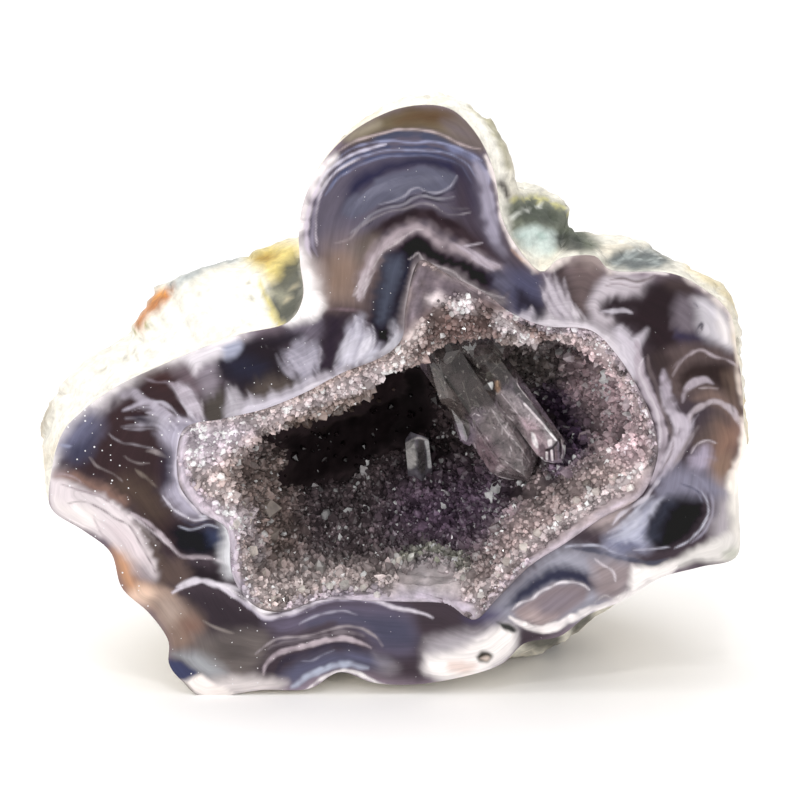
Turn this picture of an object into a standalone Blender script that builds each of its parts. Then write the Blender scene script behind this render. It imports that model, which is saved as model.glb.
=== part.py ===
"""A geode half: an agate stone with a natural rind, cut once, with crystals in its hollow.

The cut face lies in a vertical plane and looks along -Y, +X is to its right and +Z is up.
The stone stands on the flat of its underside. Metres.
"""

import math
import random

import bmesh
import bpy
import numpy as np
from mathutils import Matrix, Vector, noise

# Driving dimensions
FACE_WIDTH = 0.0915
BODY_DEPTH = 0.042
HOLLOW_DEPTH = 0.024
CRUST_BACK = 0.0045
GAP = 0.0003
CUT_OVERSHOOT = 0.004

# Where the photograph was taken from: how far it looks down on the cut face, and from how far away
VIEW_TILT = math.radians(18)
VIEW_DISTANCE = 0.55

# Outlines on the cut face, in the photograph's pixels (right, down), read by hand
FACE_LEFT_PX, FACE_RIGHT_PX = 48, 748
MIDDLE_PX, AIM_HEIGHT = 400, 0.0415
OUTER_EDGE = (
    (287, 323), (303, 297), (300, 262), (299, 228), (306, 195), (326, 158), (358, 128),
    (402, 108), (447, 108), (476, 134), (494, 172), (501, 215), (517, 247), (541, 272),
    (560, 259), (594, 256), (613, 271), (668, 273), (702, 288), (730, 314), (737, 352),
    (742, 385), (744, 425), (747, 445), (738, 470), (739, 512), (737, 556), (700, 567),
    (660, 578), (622, 601), (588, 615), (560, 636), (525, 643), (503, 663), (470, 675),
    (420, 684), (375, 683), (340, 672), (308, 689), (262, 690), (205, 697), (183, 682),
    (169, 664), (168, 640), (149, 613), (122, 588), (111, 553), (84, 531), (54, 512),
    (49, 490), (60, 438), (84, 410), (118, 386), (158, 367), (200, 349), (243, 334),
)
AGATE_EDGE = (
    (183, 430), (222, 419), (264, 409), (304, 393), (342, 373), (382, 357), (402, 338),
    (406, 305), (419, 261), (446, 273), (486, 294), (510, 312), (545, 326), (590, 330),
    (617, 355), (638, 388), (654, 425), (657, 460), (640, 497), (602, 518), (566, 543),
    (530, 566), (498, 598), (474, 620), (446, 604), (405, 602), (368, 601), (322, 600),
    (282, 612), (252, 604), (232, 574), (227, 530), (198, 510), (178, 480),
)
HOLLOW_EDGE = (
    (229, 484), (242, 456), (280, 433), (326, 418), (364, 404), (380, 383), (416, 371),
    (434, 353), (478, 342), (522, 350), (560, 344), (590, 352), (617, 376), (638, 410),
    (646, 442), (634, 466), (600, 468), (562, 480), (530, 497), (511, 515), (495, 545),
    (474, 577), (440, 590), (400, 589), (340, 588), (282, 592), (256, 586), (242, 556),
    (236, 520),
)
HOLLOW_MIDDLE_PX = (440, 470)

# The stone behind the cut: middle of its sections, and how far it reaches behind, by the angle
# around that middle (degrees from +X towards +Z, millimetres)
BODY_MIDDLE_PX = (400, 450)
REAR_REACH = (
    (0, 46), (22, 47), (34, 42), (45, 35.2), (57, 35), (75, 33), (92, 31), (110, 29),
    (126, 29), (136, 30.4), (147, 35.2), (155, 37.4), (164, 39), (172, 45.5), (182, 49),
    (196, 47), (215, 40), (232, 40.5), (250, 37.5), (270, 35.5), (285, 36.5), (300, 39.6),
    (312, 39.6), (330, 41), (345, 44),
)
KNOB_ANGLES = (52, 127)
KNOB_DEPTH, KNOB_LEAN, KNOB_SWELL = 0.018, 0.0024, 0.0011
REAR_SETTLES, REAR_ROUND = 0.016, 0.038
# How boxy the stone closes behind, on top and underneath, and its small unevenness
CLOSING_POWER, CLOSING_ROOT = (3, 6), (2.2, 3.2)
UNEVENNESS, UNEVEN_WAVES = 0.0011, 110

# Lumps and pits of the rind: angle in degrees, depth, width and height in millimetres
RIND_LUMPS = (
    (57, 25, 6.5, 1.2), (47, 21, 3.2, -1.8), (40, 27, 4.5, 0.6), (52, 14, 3.0, -1.3),
    (155, 22, 3.4, 2.2), (146, 12, 6.0, 1.2), (133, 24, 5.0, 0.5), (124, 15, 4.0, -1.6),
    (168, 30, 6.0, 1.4), (185, 18, 6.0, 1.0), (205, 28, 7.0, -1.5), (225, 12, 5.0, 1.2),
    (20, 12, 6.0, 1.0), (5, 26, 7.0, -1.6), (342, 20, 6.0, 1.6), (325, 10, 5.0, -1.2),
    (100, 30, 7.0, 1.8), (75, 34, 6.0, -1.5), (318, 30, 7.0, 1.5), (140, 36, 6.0, -1.4),
    (30, 36, 6.0, 1.7), (250, 37, 7.0, 1.6), (200, 38, 6.0, 1.5), (290, 38, 6.0, -1.2),
)

# How finely the surfaces are divided
BODY_POINTS = 96
CRYSTALS_ROUND, CRYSTAL_ROWS = 40, 11
HOLLOW_POINTS = 2 * CRYSTALS_ROUND
BODY_STATIONS = (
    0, 0.6, 2, 4, 6.5, 9, 11.5, 14, 16.5, 19, 22, 25, 28.5, 32, 35, 37.6, 39.6, 41, 41.8,
)
HOLLOW_STATIONS = (0, 0.12, 0.3, 0.5, 0.68, 0.82, 0.92, 0.98)
CRYSTAL_HEIGHTS, CRYSTAL_LEAN = (0.0008, 0.0018), 0.14

# The large clear crystals: root and point (x, y, z in millimetres), width, shoulder and turn
CLUSTER_PRISMS = {
    "leading_prism": ((8.0, 11.7, 47.1), (20.6, 4.4, 31.1), 4.2, 1.5, 14),
    "broad_prism": ((4.0, 11.5, 46.2), (16.0, 6.4, 27.8), 6.6, 2.6, 32),
    "roof_prism": ((8.0, 10.0, 52.0), (9.7, 5.4, 40.6), 8.4, 3.2, 20),
    "side_prism": ((4.2, 8.2, 49.5), (6.2, 6.0, 38.0), 2.2, 1.4, 8),
    "low_prism": ((6.8, 9.6, 39.5), (9.4, 6.6, 32.4), 1.9, 1.0, 25),
}
SMALL_PRISM = ((2.8, 24.0, 22.0), (2.0, 19.2, 30.4), 3.5, 1.2, 10)
POINT_OFFSET = 0.22

SEED = 7


def on_face(pixel):
    """The point (x, z) of the cut face that the photograph shows at a pixel."""
    scale = FACE_WIDTH / (FACE_RIGHT_PX - FACE_LEFT_PX)
    across, up = (pixel[0] - MIDDLE_PX) * scale, (MIDDLE_PX - pixel[1]) * scale
    height = up / (math.cos(VIEW_TILT) + up * math.sin(VIEW_TILT) / VIEW_DISTANCE)
    nearness = 1 - height * math.sin(VIEW_TILT) / VIEW_DISTANCE
    return np.array([across * nearness, AIM_HEIGHT + height])


def smooth_loop(pixels, count):
    """A closed smooth curve through the points, as evenly spaced points."""
    points = np.array([on_face(pixel) for pixel in pixels])
    before, after = np.roll(points, 1, axis=0), np.roll(points, -1, axis=0)
    later = np.roll(points, -2, axis=0)
    fine = []
    for t in np.linspace(0, 1, 12, endpoint=False):
        fine.append(
            0.5
            * (
                2 * points
                + (after - before) * t
                + (2 * before - 5 * points + 4 * after - later) * t**2
                + (3 * points - before - 3 * after + later) * t**3
            )
        )
    curve = np.stack(fine, axis=1).reshape(-1, 2)
    closed = np.vstack([curve, curve[:1]])
    length = np.concatenate([[0], np.cumsum(np.linalg.norm(np.diff(closed, axis=0), axis=1))])
    at = np.linspace(0, length[-1], count, endpoint=False)
    return np.stack([np.interp(at, length, closed[:, axis]) for axis in (0, 1)], axis=1)


def ease(value):
    value = np.clip(value, 0, 1)
    return value * value * (3 - 2 * value)


def between_angles(angle, low, high, blend=9):
    """1 between two angles in degrees, 0 outside them, with soft ends."""
    return ease((angle - low) / blend + 0.5) * ease((high - angle) / blend + 0.5)


def rear_reach(angle):
    """How far the stone reaches behind, in metres, at angles in degrees."""
    angles, reach = np.array(REAR_REACH).T
    angles = np.concatenate([angles - 360, angles, angles + 360])
    return np.interp(angle, angles, np.tile(reach, 3)) / 1000


def rind_relief(angle, radius, depth):
    """Height of the rind's lumps and pits at points of the body, 0 on the cut."""
    height = np.zeros_like(radius)
    for lump_angle, lump_depth, width, rise in RIND_LUMPS:
        turn = np.radians((angle - lump_angle + 180) % 360 - 180) * radius
        away = np.hypot(turn, depth - lump_depth / 1000) / (width / 1000)
        height += rise / 1000 * np.exp(-1.4 * away**2)
    return height * ease(depth / 0.007)


def body_section(loop, middle, depth):
    """The stone's outline at a depth behind the cut, as points (x, y, z)."""
    arm = loop - middle
    angle = np.degrees(np.arctan2(arm[:, 1], arm[:, 0])) % 360
    front = np.linalg.norm(arm, axis=1)
    settled = ease(depth / REAR_SETTLES)
    knob = between_angles(angle, *KNOB_ANGLES)
    rounded = (0.5 - 0.5 * math.cos(math.pi * min(1, depth / KNOB_DEPTH))) ** 1.6
    share = knob * rounded + (1 - knob) * settled
    rear = rear_reach(angle)
    round_share = 0.7 * ease((depth / BODY_DEPTH - 0.7) / 0.3)
    rear += (REAR_ROUND - rear) * round_share
    reach = front * (1 - share) + rear * share
    below = ease(-np.sin(np.radians(angle)) * 1.6)
    power = np.interp(below, (0, 1), CLOSING_POWER)
    root = np.interp(below, (0, 1), CLOSING_ROOT)
    closing = (1 - min(1, depth / BODY_DEPTH) ** power) ** (1 / root)
    radius = reach * closing + KNOB_SWELL * knob * ease(depth / 0.004)
    radius += rind_relief(angle, radius, depth)
    fine = np.array(
        [
            noise.noise(Vector((math.cos(a) * r, depth, math.sin(a) * r)) * UNEVEN_WAVES)
            for a, r in zip(np.radians(angle), radius)
        ]
    )
    radius += UNEVENNESS * fine * ease(depth / 0.006) * closing
    turned = np.radians(angle)
    lean = KNOB_LEAN * knob * ease(depth / 0.006)
    return np.stack(
        [
            middle[0] + np.cos(turned) * radius + lean,
            np.full(len(loop), depth),
            middle[1] + np.sin(turned) * radius,
        ],
        axis=1,
    )


def hollow_section(loop, middle, depth, deepest, wall):
    """A section of the hollow: wall is 0 for the crystals' side and 1 for the agate's."""
    arm = loop - middle
    angle = np.arctan2(arm[:, 1], arm[:, 0])
    top = ease(np.sin(angle) * 1.3)
    bottom = ease(-np.sin(angle) * 1.3)
    power = 1.6 + 1.6 * top + 0.6 * bottom + 1.2 * wall
    root = 1.3 + 0.9 * top + 0.3 * bottom + 0.6 * wall
    scale = (1 - min(1, depth / deepest) ** power) ** (1 / root)
    points = middle + arm * scale[:, None]
    return np.stack([points[:, 0], np.full(len(loop), depth), points[:, 1]], axis=1)


def inset(loop, distance):
    """A closed outline moved inwards along its normals."""
    along = np.roll(loop, -1, axis=0) - np.roll(loop, 1, axis=0)
    along /= np.linalg.norm(along, axis=1)[:, None]
    inwards = np.stack([along[:, 1], -along[:, 0]], axis=1)
    area = np.sum(loop[:, 0] * np.roll(loop[:, 1], -1) - loop[:, 1] * np.roll(loop[:, 0], -1))
    return loop + inwards * (distance if area < 0 else -distance)


def add_ring(mesh, points):
    return [mesh.verts.new(Vector(point)) for point in points]


def bridge(mesh, first, second):
    """Faces between two rings with the same number of points."""
    count = len(first)
    for i in range(count):
        j = (i + 1) % count
        mesh.faces.new((first[i], first[j], second[j], second[i]))


def cap_to_point(mesh, ring, point):
    middle = mesh.verts.new(Vector(point))
    for i, vertex in enumerate(ring):
        mesh.faces.new((vertex, ring[(i + 1) % len(ring)], middle))


def make_object(name, mesh, collection, material=None, smooth_angle=None):
    """An object from a bmesh, its normals facing out."""
    bmesh.ops.recalc_face_normals(mesh, faces=mesh.faces)
    data = bpy.data.meshes.new(name)
    mesh.to_mesh(data)
    mesh.free()
    made = bpy.data.objects.new(name, data)
    collection.objects.link(made)
    if material:
        data.materials.append(material)
    if smooth_angle:
        data.shade_smooth()
        data.set_sharp_from_angle(angle=math.radians(smooth_angle))
    return made


def make_material(name, colour, roughness, transmission=0.0):
    made = bpy.data.materials.new(name)
    made.use_nodes = True
    shader = made.node_tree.nodes["Principled BSDF"]
    shader.inputs["Base Color"].default_value = (*colour, 1)
    shader.inputs["Roughness"].default_value = roughness
    shader.inputs["Metallic"].default_value = 0
    shader.inputs["Transmission Weight"].default_value = transmission
    made.diffuse_color = (*colour, 1)
    return made


def as_cutter(cutter):
    cutter.hide_render = True
    cutter.display_type = "WIRE"
    return cutter


def add_boolean(target, other, operation):
    modifier = target.modifiers.new(f"{operation.lower()}_{other.name}", "BOOLEAN")
    modifier.operation = operation
    modifier.object = other
    modifier.solver = "EXACT"


def make_stone(parts, cutters, material):
    """The agate with its rind, before its hollow and its foot are cut."""
    loop = smooth_loop(OUTER_EDGE, BODY_POINTS)
    middle = on_face(BODY_MIDDLE_PX)
    mesh = bmesh.new()
    rings = [add_ring(mesh, body_section(loop, middle, d / 1000)) for d in BODY_STATIONS]
    mesh.faces.new(rings[0])
    for first, second in zip(rings, rings[1:]):
        bridge(mesh, first, second)
    cap_to_point(mesh, rings[-1], (middle[0], BODY_DEPTH, middle[1]))
    stone = make_object("agate_shell", mesh, parts, material, smooth_angle=40)
    add_boolean(stone, make_hollow_cutter(cutters), "DIFFERENCE")
    add_boolean(stone, make_floor_cutter(cutters), "DIFFERENCE")
    return stone


def make_hollow_cutter(cutters, name="hollow_cutter", clearance=0.0):
    """The space inside the agate, which runs out through the cut face."""
    loop = inset(smooth_loop(AGATE_EDGE, HOLLOW_POINTS), clearance)
    middle = on_face(HOLLOW_MIDDLE_PX)
    deepest = HOLLOW_DEPTH + CRUST_BACK - clearance
    mesh = bmesh.new()
    mouth = [(x, -CUT_OVERSHOOT, z) for x, z in loop]
    rings = [add_ring(mesh, mouth)]
    for share in HOLLOW_STATIONS:
        rings.append(add_ring(mesh, hollow_section(loop, middle, share * deepest, deepest, 1)))
    mesh.faces.new(rings[0])
    for first, second in zip(rings, rings[1:]):
        bridge(mesh, first, second)
    cap_to_point(mesh, rings[-1], (middle[0], deepest, middle[1]))
    return as_cutter(make_object(name, mesh, cutters))


def make_floor_cutter(cutters):
    """A block under the stone: where it cuts, the underside is flat."""
    mesh = bmesh.new()
    bmesh.ops.create_cube(mesh, size=1.0)
    block = Matrix.Diagonal((0.2, 0.2, 0.02, 1))
    bmesh.ops.transform(mesh, matrix=block, verts=mesh.verts)
    bmesh.ops.translate(mesh, vec=(0, 0, -0.01), verts=mesh.verts)
    return as_cutter(make_object("floor_cutter", mesh, cutters))


def crystal_rows(loop, middle):
    """Rings of the hollow's inner side, each with two points for a crystal."""
    rows = []
    for row in range(CRYSTAL_ROWS + 1):
        turn = math.radians(80) * row / CRYSTAL_ROWS
        depth = GAP + (HOLLOW_DEPTH - GAP) * math.sin(turn) ** 1.15
        rows.append(hollow_section(loop, middle, depth, HOLLOW_DEPTH * 1.03, 0))
    return rows


def make_crust(parts, material):
    """The lining of small crystals: six flat faces on each, between rings laid like bricks."""
    middle = on_face(HOLLOW_MIDDLE_PX)
    mesh = bmesh.new()
    outer = inset(smooth_loop(AGATE_EDGE, HOLLOW_POINTS), GAP)
    inner = smooth_loop(HOLLOW_EDGE, HOLLOW_POINTS)
    shift = int(np.argmin(np.linalg.norm(outer - inner[0], axis=1)))
    outer = np.roll(outer, -shift, axis=0)
    deepest = HOLLOW_DEPTH + CRUST_BACK - GAP
    outer_rings = []
    for share in HOLLOW_STATIONS:
        depth = max(GAP, share * deepest)
        outer_rings.append(add_ring(mesh, hollow_section(outer, middle, depth, deepest, 1)))
    for first, second in zip(outer_rings, outer_rings[1:]):
        bridge(mesh, first, second)
    cap_to_point(mesh, outer_rings[-1], (middle[0], deepest, middle[1]))
    rings = [add_ring(mesh, row) for row in crystal_rows(inner, middle)]
    bridge(mesh, outer_rings[0], rings[0])
    crystals = []
    count = HOLLOW_POINTS
    for row, (first, second) in enumerate(zip(rings, rings[1:])):
        for brick in range(CRYSTALS_ROUND):
            a, b, c = ((2 * brick + row % 2 + step) % count for step in range(3))
            corners = (first[a], first[b], first[c], second[c], second[b], second[a])
            crystals.append(mesh.faces.new(corners))
    last = mesh.faces.new(rings[-1])
    bmesh.ops.recalc_face_normals(mesh, faces=mesh.faces)
    rng = random.Random(SEED)
    grow_points(mesh, crystals, rng)
    cap_crystals(mesh, last)
    return make_object("crystal_crust", mesh, parts, material)


def grow_points(mesh, crystals, rng):
    """Raises a six-sided point on each of the crust's faces."""
    for face in crystals:
        normal, size = face.normal.copy(), math.sqrt(face.calc_area())
        centre = face.calc_center_median()
        tip = bmesh.ops.poke(mesh, faces=[face])["verts"][0]
        height = rng.uniform(*CRYSTAL_HEIGHTS) * min(1, size / 0.0022)
        lean = Vector([rng.uniform(-CRYSTAL_LEAN, CRYSTAL_LEAN) for _ in range(3)]) * size
        tip.co = centre + normal * height + lean
        tip.co.y = max(tip.co.y, 2 * GAP)


def cap_crystals(mesh, face):
    """Raises one low point on the face that closes the crust at its back."""
    normal, centre = face.normal.copy(), face.calc_center_median()
    tip = bmesh.ops.poke(mesh, faces=[face])["verts"][0]
    tip.co = centre + normal * CRYSTAL_HEIGHTS[0]


def quartz_point(name, prism, collection, material=None, grow=0.0):
    """A six-sided prism with a six-sided point that is a little off its axis."""
    root, point, width, shoulder, turn = prism
    root, point = Vector(root) / 1000, Vector(point) / 1000
    axis = (point - root).normalized()
    radius = width / 2000 + grow
    length = (point - root).length - shoulder / 1000
    mesh = bmesh.new()
    bmesh.ops.create_cone(
        mesh, cap_ends=True, segments=6, radius1=radius, radius2=radius * 0.95, depth=length
    )
    bmesh.ops.translate(mesh, vec=(0, 0, length / 2), verts=mesh.verts)
    mesh.faces.ensure_lookup_table()
    top = max(mesh.faces, key=lambda face: face.calc_center_median().z)
    tip = bmesh.ops.poke(mesh, faces=[top])["verts"][0]
    tip.co = Vector((radius * POINT_OFFSET, radius * POINT_OFFSET, length + shoulder / 1000 + grow))
    upright = axis.to_track_quat("Z", "Y").to_matrix().to_4x4()
    place = Matrix.Translation(root) @ upright @ Matrix.Rotation(math.radians(turn), 4, "Z")
    bmesh.ops.transform(mesh, matrix=place, verts=mesh.verts)
    return make_object(name, mesh, collection, material)


def make_cluster(parts, cutters, material):
    """The large crystals, joined where they cross."""
    names = list(CLUSTER_PRISMS)
    cluster = quartz_point("clear_quartz_cluster", CLUSTER_PRISMS[names[0]], parts, material)
    for name in names[1:]:
        add_boolean(cluster, as_cutter(quartz_point(name, CLUSTER_PRISMS[name], cutters)), "UNION")
    space = make_hollow_cutter(cutters, "crystal_space", 2 * GAP)
    add_boolean(cluster, space, "INTERSECT")
    return cluster


def seat_crystals(crust, cutters):
    """Cuts the crust clear of the large crystals that are rooted in it."""
    for name, prism in [*CLUSTER_PRISMS.items(), ("small_prism", SMALL_PRISM)]:
        seat = quartz_point(f"{name}_seat", prism, cutters, grow=GAP * 1.3)
        add_boolean(crust, as_cutter(seat), "DIFFERENCE")


def centre_on_origin(stone, root):
    """Moves the whole part so that the middle of its box is above the origin."""
    view = bpy.context.evaluated_depsgraph_get()
    made = stone.evaluated_get(view).to_mesh()
    corners = np.array([vertex.co for vertex in made.vertices])
    stone.evaluated_get(view).to_mesh_clear()
    middle = (corners.min(axis=0) + corners.max(axis=0)) / 2
    root.location = (-middle[0], -middle[1], 0)


def main():
    for old in list(bpy.data.objects):
        bpy.data.objects.remove(old, do_unlink=True)
    parts = bpy.data.collections.new("geode_half")
    cutters = bpy.data.collections.new("cutters")
    for collection in (parts, cutters):
        bpy.context.scene.collection.children.link(collection)
    root = bpy.data.objects.new("geode_half_origin", None)
    parts.objects.link(root)
    agate = make_material("banded_agate", (0.26, 0.22, 0.26), 0.25)
    druse = make_material("quartz_druse", (0.52, 0.48, 0.47), 0.35)
    clear = make_material("clear_quartz", (0.72, 0.64, 0.68), 0.05, transmission=0.9)
    stone = make_stone(parts, cutters, agate)
    crust = make_crust(parts, druse)
    make_cluster(parts, cutters, clear)
    quartz_point("small_clear_quartz", SMALL_PRISM, parts, clear)
    seat_crystals(crust, cutters)
    centre_on_origin(stone, root)
    for made in [*parts.objects, *cutters.objects]:
        if made is not root:
            made.parent = root


main()
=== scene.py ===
"""Looks of the geode half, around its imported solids: the banded cut, the rind, the druse and the
clear crystals, on a pale floor. Metres. Shapes are worked out with the cut face at y = 0 and then
moved to the frame's place."""

import math

import bmesh
import bpy
import numpy as np
from mathutils import Matrix, Vector, noise
from mathutils.geometry import delaunay_2d_cdt


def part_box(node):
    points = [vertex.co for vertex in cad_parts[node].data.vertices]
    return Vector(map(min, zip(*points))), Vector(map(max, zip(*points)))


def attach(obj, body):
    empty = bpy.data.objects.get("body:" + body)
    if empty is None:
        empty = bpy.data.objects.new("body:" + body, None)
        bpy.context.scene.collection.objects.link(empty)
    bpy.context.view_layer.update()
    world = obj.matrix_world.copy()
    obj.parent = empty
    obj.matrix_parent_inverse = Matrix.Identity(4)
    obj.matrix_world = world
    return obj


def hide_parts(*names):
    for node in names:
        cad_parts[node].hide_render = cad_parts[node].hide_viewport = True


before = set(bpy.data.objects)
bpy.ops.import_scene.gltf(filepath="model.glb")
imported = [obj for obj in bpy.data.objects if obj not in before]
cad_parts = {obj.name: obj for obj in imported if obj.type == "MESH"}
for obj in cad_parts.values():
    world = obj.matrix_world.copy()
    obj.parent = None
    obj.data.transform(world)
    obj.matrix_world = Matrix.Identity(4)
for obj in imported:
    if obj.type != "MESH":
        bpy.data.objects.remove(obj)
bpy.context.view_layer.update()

# The stone's dimensions and outlines, as its source has them
FACE_WIDTH = 0.0915
BODY_DEPTH = 0.042
HOLLOW_DEPTH = 0.024
CRUST_BACK = 0.0045
GAP = 0.0003
VIEW_TILT = math.radians(18)
VIEW_DISTANCE = 0.55
FACE_LEFT_PX, FACE_RIGHT_PX = 48, 748
MIDDLE_PX, AIM_HEIGHT = 400, 0.0415
SCALE = FACE_WIDTH / (FACE_RIGHT_PX - FACE_LEFT_PX)
PICTURE_PX = 800
OUTER_EDGE = (
    (287, 323), (303, 297), (300, 262), (299, 228), (306, 195), (326, 158), (358, 128),
    (402, 108), (447, 108), (476, 134), (494, 172), (501, 215), (517, 247), (541, 272),
    (560, 259), (594, 256), (613, 271), (668, 273), (702, 288), (730, 314), (737, 352),
    (742, 385), (744, 425), (747, 445), (738, 470), (739, 512), (737, 556), (700, 567),
    (660, 578), (622, 601), (588, 615), (560, 636), (525, 643), (503, 663), (470, 675),
    (420, 684), (375, 683), (340, 672), (308, 689), (262, 690), (205, 697), (183, 682),
    (169, 664), (168, 640), (149, 613), (122, 588), (111, 553), (84, 531), (54, 512),
    (49, 490), (60, 438), (84, 410), (118, 386), (158, 367), (200, 349), (243, 334),
)
AGATE_EDGE = (
    (183, 430), (222, 419), (264, 409), (304, 393), (342, 373), (382, 357), (402, 338),
    (406, 305), (419, 261), (446, 273), (486, 294), (510, 312), (545, 326), (590, 330),
    (617, 355), (638, 388), (654, 425), (657, 460), (640, 497), (602, 518), (566, 543),
    (530, 566), (498, 598), (474, 620), (446, 604), (405, 602), (368, 601), (322, 600),
    (282, 612), (252, 604), (232, 574), (227, 530), (198, 510), (178, 480),
)
HOLLOW_EDGE = (
    (229, 484), (242, 456), (280, 433), (326, 418), (364, 404), (380, 383), (416, 371),
    (434, 353), (478, 342), (522, 350), (560, 344), (590, 352), (617, 376), (638, 410),
    (646, 442), (634, 466), (600, 468), (562, 480), (530, 497), (511, 515), (495, 545),
    (474, 577), (440, 590), (400, 589), (340, 588), (282, 592), (256, 586), (242, 556),
    (236, 520),
)
HOLLOW_MIDDLE_PX = (440, 470)
BODY_MIDDLE_PX = (400, 450)
REAR_REACH = (
    (0, 46), (22, 47), (34, 42), (45, 35.2), (57, 35), (75, 33), (92, 31), (110, 29),
    (126, 29), (136, 30.4), (147, 35.2), (155, 37.4), (164, 39), (172, 45.5), (182, 49),
    (196, 47), (215, 40), (232, 40.5), (250, 37.5), (270, 35.5), (285, 36.5), (300, 39.6),
    (312, 39.6), (330, 41), (345, 44),
)
KNOB_ANGLES = (52, 127)
KNOB_DEPTH, KNOB_LEAN, KNOB_SWELL = 0.018, 0.0024, 0.0011
REAR_SETTLES, REAR_ROUND = 0.016, 0.038
CLOSING_POWER, CLOSING_ROOT = (3, 6), (2.2, 3.2)
UNEVENNESS, UNEVEN_WAVES = 0.0011, 110
RIND_LUMPS = (
    (57, 25, 6.5, 1.2), (47, 21, 3.2, -1.8), (40, 27, 4.5, 0.6), (52, 14, 3.0, -1.3),
    (155, 22, 3.4, 2.2), (146, 12, 6.0, 1.2), (133, 24, 5.0, 0.5), (124, 15, 4.0, -1.6),
    (168, 30, 6.0, 1.4), (185, 18, 6.0, 1.0), (205, 28, 7.0, -1.5), (225, 12, 5.0, 1.2),
    (20, 12, 6.0, 1.0), (5, 26, 7.0, -1.6), (342, 20, 6.0, 1.6), (325, 10, 5.0, -1.2),
    (100, 30, 7.0, 1.8), (75, 34, 6.0, -1.5), (318, 30, 7.0, 1.5), (140, 36, 6.0, -1.4),
    (30, 36, 6.0, 1.7), (250, 37, 7.0, 1.6), (200, 38, 6.0, 1.5), (290, 38, 6.0, -1.2),
)

# How finely the stone's surfaces are divided, and where the hollow's side has rings of points, as
# shares of its depth
STONE_POINTS, STONE_RINGS, CAP_RINGS = 480, 52, 14
CONTACT_POINTS = 420
FACE_STEP = 0.00023
BED_POINTS, BED_ROWS, RIM_ROWS = 300, 70, 18
HOLLOW_RINGS = (0.12, 0.3, 0.5, 0.68, 0.82, 0.92, 0.98)

# The druse's bed: how far its rim lies behind the cut and slopes, where the hollow starts, how much
# less deep than the hollow it ends, and how thick it is
RIM_GAP, RIM_DROP, RIM_SLOPE = 0.00006, 0.0008, 0.0014
EDGE_DEPTH, BED_SHORT, BED_SKIN = 0.0023, 0.0014, 0.0004

# Relief of the rind that the solids leave out, as heights and as waves for each metre
GRAIN_HEIGHT, GRAIN_WAVES = 0.00042, 420
CREASE_DEPTH, CREASE_WIDTH, CREASE_WAVES = 0.0009, 0.16, 130
KNOBBLE_HEIGHT, KNOBBLE_WAVES = 0.0007, 230
RELIEF_SINKS, RELIEF_STARTS = 0.0002, 0.0035

# Where the part stands in the frame
shell_low, shell_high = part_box("agate_shell")
TO_FRAME = np.array([0.0012, shell_low.y, 0.0])

# The cut's colours: what it reflects besides its own colour, its cast and how muted it is
SHEEN = 0.016
CUT_CAST = (1.02, 0.98, 0.97)
SATURATION = 0.80

# Painted fields blend over this many times the softness that their rows say
FIELD_SOFTNESS = 2.2

# Pixels over which painted lines swell and fade, and the thinnest line that the cut face can show
SWELL_PX, FINEST_PX = 13, 2.2

rng = np.random.default_rng(11)


# Shapes shared with the source


def on_face(pixel):
    """The point (x, z) of the cut face that the photograph shows at a pixel."""
    across, up = (pixel[0] - MIDDLE_PX) * SCALE, (MIDDLE_PX - pixel[1]) * SCALE
    height = up / (math.cos(VIEW_TILT) + up * math.sin(VIEW_TILT) / VIEW_DISTANCE)
    nearness = 1 - height * math.sin(VIEW_TILT) / VIEW_DISTANCE
    return np.array([across * nearness, AIM_HEIGHT + height])


def seen_at(points):
    """The photograph's pixels (right, down) at which points (x, y, z) are seen."""
    height = points[:, 2] - AIM_HEIGHT
    away = VIEW_DISTANCE + points[:, 1] * math.cos(VIEW_TILT) - height * math.sin(VIEW_TILT)
    up = points[:, 1] * math.sin(VIEW_TILT) + height * math.cos(VIEW_TILT)
    near = VIEW_DISTANCE / away / SCALE
    return np.stack([MIDDLE_PX + points[:, 0] * near, MIDDLE_PX - up * near], axis=1)


def between(a, b, c, d, t):
    """The place at a share t of the way from b to c, on a smooth curve through a, b, c and d."""
    return 0.5 * (
        2 * b + (c - a) * t + (2 * a - 5 * b + 4 * c - d) * t**2 + (3 * b - a - 3 * c + d) * t**3
    )


def smooth_loop(pixels, count):
    """A closed smooth curve through pixels of the cut face, as evenly spaced points (x, z)."""
    points = np.array([on_face(pixel) for pixel in pixels])
    four = [np.roll(points, step, axis=0) for step in (1, 0, -1, -2)]
    fine = [between(*four, t) for t in np.linspace(0, 1, 12, endpoint=False)]
    return resample(np.stack(fine, axis=1).reshape(-1, 2), count)


def resample(loop, count):
    """A closed outline as evenly spaced points."""
    line = np.vstack([loop, loop[:1]])
    length = np.concatenate([[0], np.cumsum(np.linalg.norm(np.diff(line, axis=0), axis=1))])
    at = np.linspace(0, length[-1], count, endpoint=False)
    return np.stack([np.interp(at, length, line[:, axis]) for axis in (0, 1)], axis=1)


def starting_near(loop, point):
    """A closed outline whose first point is the one nearest to a point."""
    return np.roll(loop, -int(np.argmin(np.linalg.norm(loop - point, axis=1))), axis=0)


def ease(value):
    """A smooth step: 0 below 0, 1 above 1."""
    value = np.clip(value, 0, 1)
    return value * value * (3 - 2 * value)


def between_angles(angle, low, high, blend=9):
    """1 between two angles and 0 outside them, with soft ends; all in degrees."""
    return ease((angle - low) / blend + 0.5) * ease((high - angle) / blend + 0.5)


def rear_reach(angle):
    """How far the stone reaches from its middle behind the cut, at angles in degrees."""
    angles, reach = np.array(REAR_REACH).T
    angles = np.concatenate([angles - 360, angles, angles + 360])
    return np.interp(angle, angles, np.tile(reach, 3)) / 1000


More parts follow.
